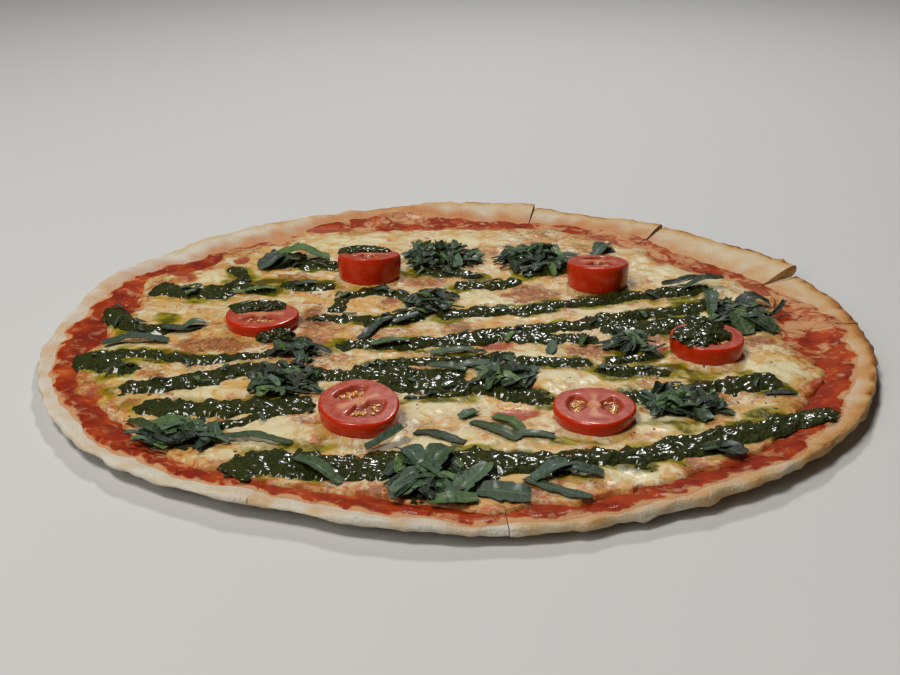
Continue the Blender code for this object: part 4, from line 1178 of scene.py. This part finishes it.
def add_leaf(x, y, heading, length, width, bend, rise, fold, tone, seed):
    """Adds one strip to the list of leaves, and its painted marks."""
    steps = max(6, int(length / LEAF_STEP))
    share = np.linspace(0.0, 1.0, steps + 1)
    turn = np.radians(heading + bend * (share - 0.5))
    step = length / steps
    line_x = np.concatenate([[0.0], np.cumsum(np.cos(turn[:-1]) * step)])
    line_y = np.concatenate([[0.0], np.cumsum(np.sin(turn[:-1]) * step)])
    line_x, line_y = line_x - line_x.mean() + x, line_y - line_y.mean() + y
    floors = rest_height(line_x, line_y, 0.4 * width)
    floors = np.convolve(np.pad(floors, 2, mode="edge"), [0.1, 0.2, 0.4, 0.2, 0.1], mode="valid")
    lower = floors + LEAF_CLEARANCE + along(np.array(rise, dtype=float), share)
    taper = LEAF_BLUNTNESS + (1.0 - LEAF_BLUNTNESS) * np.sin(np.pi * (0.08 + 0.84 * share))
    length_there = share[:, None] * length
    torn = 1.0 + 0.2 * lumps(length_there, 3.0 * seed + 7.0 * np.sign(ACROSS), 1.6, 201)
    out = ACROSS * (0.5 * width * taper)[:, None] * torn
    wavy = 0.06 * width * lumps(length_there + 0.0 * ACROSS, ACROSS * 3.0 + 5.0 * seed, 2.6, 203)
    squeezed = out / math.sqrt(1.0 + fold * fold)
    under = np.stack([
        line_x[:, None] - np.sin(turn)[:, None] * squeezed,
        line_y[:, None] + np.cos(turn)[:, None] * squeezed,
        lower[:, None] + fold * np.abs(out) + wavy * np.abs(ACROSS),
    ], axis=-1)
    over = under + np.array([0.0, 0.0, LEAF_THICKNESS])
    rings = np.concatenate([over, under[:, ::-1]], axis=1)
    leaves.append((rings.reshape(-1, 3), ring_faces(*rings.shape[:2])))
    margin = np.tile(np.abs(np.concatenate([ACROSS, ACROSS[::-1]])), len(share))
    warmth = hue.uniform(0.0, 1.0) ** 1.5
    leaf_marks.append(np.stack([np.full(margin.shape, tone), np.full(margin.shape, warmth), margin]))


print("a leaf has", 2 * len(ACROSS), "points in each ring")

# %% Single leaves
# x, y, heading, length, width, bend, rise at the start, middle and end, fold, tone
SINGLE_LEAVES = (
    (-67, 68, 5, 26, 10, 0, (0.0, 4.6, 0.0), 0.1, 0.75),
    (-77, 60, 60, 14, 9, 20, (0.0, 1.5, 2.4), 0.5, 0.45),
    (-70, 60, 25, 16, 7, -20, (0.0, 1.2, 0.6), 0.3, 0.3),
    (62, 78, 65, 17, 7, 20, (0.0, 1.6, 0.5), 0.3, 0.6), (64, 77, 10, 8, 4, 0, (0.0, 0.3, 0.0), 0.1, 0.05),
    (-31, -12, 60, 24, 3.6, -50, (0.0, 0.6, 0.0), 0.15, 0.3),
    (-19, -2, 40, 12, 3.5, 0, (0.0, 0.5, 1.0), 0.2, 0.3),
    (-115, -22, 10, 23, 6, -40, (0.0, 1.0, 0.0), 0.35, 0.45),
    (-97, -7, 25, 9, 5, 10, (0.0, 1.4, 0.5), 0.3, 0.7),
    (-101, -10, 15, 14, 5, 10, (0.0, 0.3, 0.0), 0.1, 0.25),
    (-80, 29, 5, 17, 3, 20, (0.0, 0.5, 0.0), 0.2, 0.8),
    (12, -129, -6, 15, 10, 0, (0.0, 0.4, 0.0), 0.05, 0.38),
    (27, -127, -38, 22, 4.4, 6, (0.0, 0.3, 0.0), 0.08, 0.42),
    (-6, -95, -28, 17, 4.4, 0, (0.0, 0.3, 0.0), 0.1, 0.2),
    (11, -91, -42, 19, 5, 0, (0.0, 0.4, 0.2), 0.1, 0.35),
    (15, -86, -50, 13, 5, 0, (0.0, 0.8, 0.3), 0.3, 0.62),
    (22, -94, -8, 14, 4, 0, (0.0, 0.3, 0.1), 0.2, 0.5), (3, -80, 40, 7, 4.5, 0, (0.0, 0.6, 0.3), 0.3, 0.7),
    (80, -106, -70, 10, 8, 0, (0.0, 0.5, 0.2), 0.2, 0.1),
    (76, -104, 20, 9, 5, 0, (0.0, 0.5, 0.2), 0.4, 0.3),
    (33, -27, 80, 12, 3.6, 10, (0.0, 0.6, 0.0), 0.2, 0.7),
    (105, -64, 12, 11, 3.4, 0, (0.0, 0.3, 0.0), 0.1, 0.15),
    (56, -26, -35, 10, 4, 10, (0.0, 0.4, 0.2), 0.2, 0.55),
    (121, 8, 48, 12, 2.6, 25, (0.0, 1.2, 3.6), 0.6, 0.25),
    (111, -7, -40, 14, 8, -10, (0.5, 1.8, 0.0), 0.2, 0.3),
    (104, -8, -80, 12, 8, 0, (2.0, 1.5, 0.0), 0.1, 0.4),
    (97, 16, 84, 22, 5.4, 0, (0.0, 2.6, 1.0), 0.2, 0.55),
    (97, 30, 10, 16, 5, -8, (0.0, 2.4, 4.2), 0.5, 0.2), (90, 34, 12, 18, 5, 0, (0.2, 1.0, 2.2), 0.5, 0.15),
    (113, 14, 20, 15, 8, -40, (0.0, 3.2, 0.4), 0.2, 0.3),
    (-22, -100, 40, 14, 4.5, 20, (0.0, 2.4, 3.6), 0.6, 0.55),
    (-56, -26, -52, 20, 4.4, -55, (0.0, 0.8, 0.0), 0.5, 0.4),
    (-41, -117, -38, 18, 5, 10, (0.0, 0.9, 0.0), 0.3, 0.5),
    (-97, -89, -42, 18, 4.2, 0, (0.0, 1.4, 0.3), 0.5, 0.35),
    (-88, -89, -35, 17, 8, 10, (0.3, 1.6, 0.3), 0.15, 0.75),
    (-62, -97, -12, 24, 3.6, -20, (0.0, 0.9, 0.0), 0.35, 0.45),
    (3, -124, 62, 21, 6, 0, (0.2, 1.8, 0.4), 0.2, 0.7), (-6, -113, 70, 16, 8, 0, (0.5, 2.0, 0.8), 0.3, 0.5),
    (-14, -112, -62, 14, 7, 0, (0.5, 2.2, 0.6), 0.35, 0.65),
    (-13, -127, 35, 14, 8, 0, (0.2, 1.4, 0.2), 0.2, 0.75),
    (-2, -135, 12, 14, 6, 0, (0.0, 0.7, 0.0), 0.2, 0.6),
    (26, -118, 25, 12, 6, 0, (0.0, 1.4, 0.2), 0.3, 0.7),
    (34, -118, -10, 14, 5, 0, (0.0, 1.2, 0.2), 0.3, 0.4),
    (-24, -26, 15, 14, 4, 0, (0.0, 0.8, 0.2), 0.2, 0.6),
    (-2, -30, 10, 16, 4, 10, (0.0, 0.8, 0.2), 0.2, 0.7), (6, -42, 20, 14, 5, 10, (0.0, 0.6, 0.2), 0.2, 0.6),
    (-4, -46, -10, 13, 5, 10, (0.0, 0.6, 0.2), 0.2, 0.45),
    (14, -58, -28, 16, 7, 0, (0.4, 1.6, 0.2), 0.15, 0.75),
    (-60, 34, 15, 8, 3.6, 0, (0.0, 0.8, 0.0), 0.2, 0.5),
)
for number, leaf in enumerate(SINGLE_LEAVES):
    add_leaf(*leaf, seed=number)
print(len(SINGLE_LEAVES), "single leaves, strips and pieces on top of heaps")

# %% Heaps and scraps
STRIPS_FOR_EACH_COUNT = 3
SPIRAL_STEP = 2.4
SCRAPS = 90
SCRAP_CLEARANCE = 3.0

draw = np.random.default_rng(210)
for name, middle, reach, tall, count, heading in HEAPS:
    strips = STRIPS_FOR_EACH_COUNT * count
    for number in range(strips):
        turn = SPIRAL_STEP * number + draw.uniform(-0.5, 0.5)
        out = math.sqrt((number + 0.6) / strips)
        x = middle[0] + 0.9 * out * reach[0] * math.cos(turn)
        y = middle[1] + 0.9 * out * reach[1] * math.sin(turn)
        length, width = draw.uniform(3.5, 10.5), draw.uniform(1.6, 4.6)
        base = 0.2 * tall * (1.0 - out) + draw.uniform(0.0, 0.5)
        rise = (base, base + draw.uniform(0.1, 1.2), base + max(0.0, draw.uniform(-0.3, 0.34)) * tall)
        add_leaf(x, y, heading + draw.uniform(-80, 80), length, width, draw.uniform(-50, 50), rise,
                 draw.uniform(0.0, 0.7), draw.uniform(0.0, 0.85), seed=300 + number)

for number in range(SCRAPS):
    _half, _top, route = PASTE_BANDS[draw.integers(3, len(PASTE_BANDS))]
    x, y = along(np.array(route), draw.uniform(0.0, 1.0)) + draw.uniform(-4.0, 4.0, 2)
    if beside_tomatoes(x, y) < SCRAP_CLEARANCE:
        continue
    heading, length, width = draw.uniform(-70, 70), draw.uniform(2.5, 6.5), draw.uniform(1.2, 2.8)
    bend = draw.uniform(-40, 40)
    rise = (0.0, draw.uniform(0.1, 0.8), draw.uniform(0.0, 0.8))
    fold, tone = draw.uniform(0.0, 0.6), draw.uniform(0.1, 0.8)
    add_leaf(x, y, heading, length, width, bend, rise, fold, tone, seed=700 + number)
tones, warmths, margins = np.concatenate(leaf_marks, axis=1)
basil = make_piece("shredded_basil", *joined(leaves), leaf_look,
                   {"tone": tones, "warmth": warmths, "side": margins}, smooth_angle=60.0)

# %% [markdown]
# ## Herb flecks
#
# Dried herb and scraps of basil are scattered over the cheese. Geometry Nodes scatter a tiny
# flattened flake over the faces that look up, each turned its own way, and the result is made one mesh.

# %% Fleck material and tree
# Dried herb: matt, between green and brown.
fleck_look, tree, shader, place = start_material("dried herb", {"Roughness": 0.7})
shade = add(tree, NOISE, {"Vector": place, "Scale": scale_of(3.0), "Detail": 2.0})
dark = add(tree, MIX, {0: shade, 6: "#2A3016", 7: "#3F2A18"})
fill(tree, shader, {"Base Color": dark})

scatter = bpy.data.node_groups.new("scattered flecks", "GeometryNodeTree")
for label, kind, way in (
    ("Geometry", "Geometry", "INPUT"), ("Density", "Float", "INPUT"), ("Smallest", "Float", "INPUT"),
    ("Largest", "Float", "INPUT"), ("Seed", "Int", "INPUT"), ("Geometry", "Geometry", "OUTPUT"),
):
    scatter.interface.new_socket(label, in_out=way, socket_type="NodeSocket" + kind)
given = add(scatter, "NodeGroupInput").outputs
normal = add(scatter, "GeometryNodeInputNormal")
slope = add(scatter, "ShaderNodeSeparateXYZ", {0: normal}).outputs["Z"]
upward = add(scatter, "FunctionNodeCompare", {0: slope, 1: 0.8}, data_type="FLOAT", operation="GREATER_THAN")
spread = add(scatter, "GeometryNodeDistributePointsOnFaces", {
    "Mesh": given["Geometry"], "Selection": upward, "Density": given["Density"], "Seed": given["Seed"],
})
flake = add(scatter, "GeometryNodeMeshIcoSphere", {"Radius": 1.0, "Subdivisions": 1})
flat = add(scatter, "GeometryNodeTransform", {"Geometry": flake, "Scale": (1.0, 0.45, 0.3)})
chance = add(scatter, "FunctionNodeRandomValue", {2: 0.0, 3: 1.0, "Seed": 4}, data_type="FLOAT")
rare = add(scatter, MATH, {0: chance, 1: 3.0}, operation="POWER")
size = add(scatter, RANGE, {0: rare, 3: given["Smallest"], 4: given["Largest"]})
spin = add(scatter, "FunctionNodeRandomValue", {0: (-0.3, -0.3, 0.0), 1: (0.3, 0.3, 6.28), "Seed": 5},
           data_type="FLOAT_VECTOR")
placed = add(scatter, "GeometryNodeInstanceOnPoints", {
    "Points": spread, "Instance": flat, "Rotation": spin, "Scale": size,
})
real = add(scatter, "GeometryNodeRealizeInstances", {0: placed})
finish = add(scatter, "GeometryNodeSetMaterial", {"Geometry": real, "Material": fleck_look})
add(scatter, "NodeGroupOutput", {0: finish})
print("scatter tree:", len(scatter.nodes), "nodes")


# %% Flecks
def scatter_over(name, source, inputs):
    """Runs the tree over a copy of a piece's mesh and returns the flecks as a plain mesh."""
    holder = bpy.data.objects.new(name + "_source", source.data.copy())
    bpy.context.scene.collection.objects.link(holder)
    modifier = holder.modifiers.new("flecks", "NODES")
    modifier.node_group = scatter
    for item in scatter.interface.items_tree:
        if item.name in inputs and item.in_out == "INPUT":
            modifier[item.identifier] = inputs[item.name]
    bpy.context.view_layer.update()
    graph = bpy.context.evaluated_depsgraph_get()
    mesh = bpy.data.meshes.new_from_object(holder.evaluated_get(graph))
    bpy.data.objects.remove(holder)
    mesh.name = name
    piece = bpy.data.objects.new(name, mesh)
    bpy.context.scene.collection.objects.link(piece)
    print(f"{name}: {len(mesh.polygons)} faces")
    return piece


FLECKS = {"Density": 14000.0, "Smallest": 0.14 * MM, "Largest": 1.0 * MM, "Seed": 7}
flecks = scatter_over("herb_flecks", cheese, FLECKS)

# %% [markdown]
# ## Riding and replacing
#
# Every piece rides on the one body. The crust, sauce, cheese and basil hide the solids of the plain model
# that they replace.

# %% Bodies
names = list(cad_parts)
for piece, slot in ((crust, "crust"), (sauce, "sauce"), (cheese, "cheese"), (basil, "basil")):
    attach(piece, "root")
    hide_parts(*[name for name in names if name.startswith(slot + "_")])
for piece, slot in ((paste, "cheese"), (dabs, "cheese"), (seeds, "tomato"), (flecks, "basil")):
    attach(piece, "root")
print(len(names), "solids of the plain model")

# %% [markdown]
# ## Floor, light and camera
#
# A plain pale floor and soft light from above and a little behind show the wet glints on the
# paste and the height of the rim. The camera looks down at 23 degrees from close by.

# %% Floor
FLOOR_SIZE = 6.0
FLOOR_DROP = 0.0002
bpy.ops.mesh.primitive_plane_add(size=FLOOR_SIZE, location=(0.0, 0.0, -FLOOR_DROP))
floor = bpy.context.active_object
floor.name = "floor"
# Paper: pale and matt, so that it shows shadows and no reflections.
floor_look, tree, shader, place = start_material("matt pale paper", {
    "Roughness": 0.9, "Base Color": "#C9C8C6",
})
floor.data.materials.append(floor_look)

# %% Light
SURROUND_COLOUR = "#E4E8EE"
SURROUND_STRENGTH = 0.035
# Name, place, power in watts, width in metres, colour
LIGHTS = (
    ("softbox overhead", (-0.45, -0.4, 1.2), 11.0, 0.35, "#FFFCF6"),
    ("softbox in front", (-0.9, -0.9, 0.8), 4.5, 0.7, "#FFFFFF"),
    ("lamp behind", (0.1, 0.75, 0.85), 5.0, 0.14, "#FFFFFF"),
)
scene = bpy.context.scene
scene.view_settings.view_transform = "Standard"
world = bpy.data.worlds.new("studio")
scene.world = world
world.use_nodes = True
surround = world.node_tree.nodes["Background"]
fill(world.node_tree, surround, {"Color": SURROUND_COLOUR, "Strength": SURROUND_STRENGTH})
for name, spot, power, size, code in LIGHTS:
    lamp = bpy.data.lights.new(name, "AREA")
    lamp.energy = power
    lamp.size = size
    lamp.color = colour(code)[:3]
    holder = bpy.data.objects.new(name, lamp)
    holder.location = spot
    holder.rotation_euler = (-Vector(spot)).to_track_quat("-Z", "Y").to_euler()
    scene.collection.objects.link(holder)
print(len(LIGHTS), "lights")

# %% Camera
PITCH_DOWN = 22.94
camera_data = bpy.data.cameras.new("camera")
camera_data.lens = 50.0
camera_data.sensor_width = 36.0
camera = bpy.data.objects.new("camera", camera_data)
camera.location = (-0.0029, -0.4319, 0.1818)
camera.rotation_euler = (math.radians(90.0 - PITCH_DOWN), 0.0, 0.0)
scene.collection.objects.link(camera)
scene.camera = camera
print("camera looks down", PITCH_DOWN, "degrees")
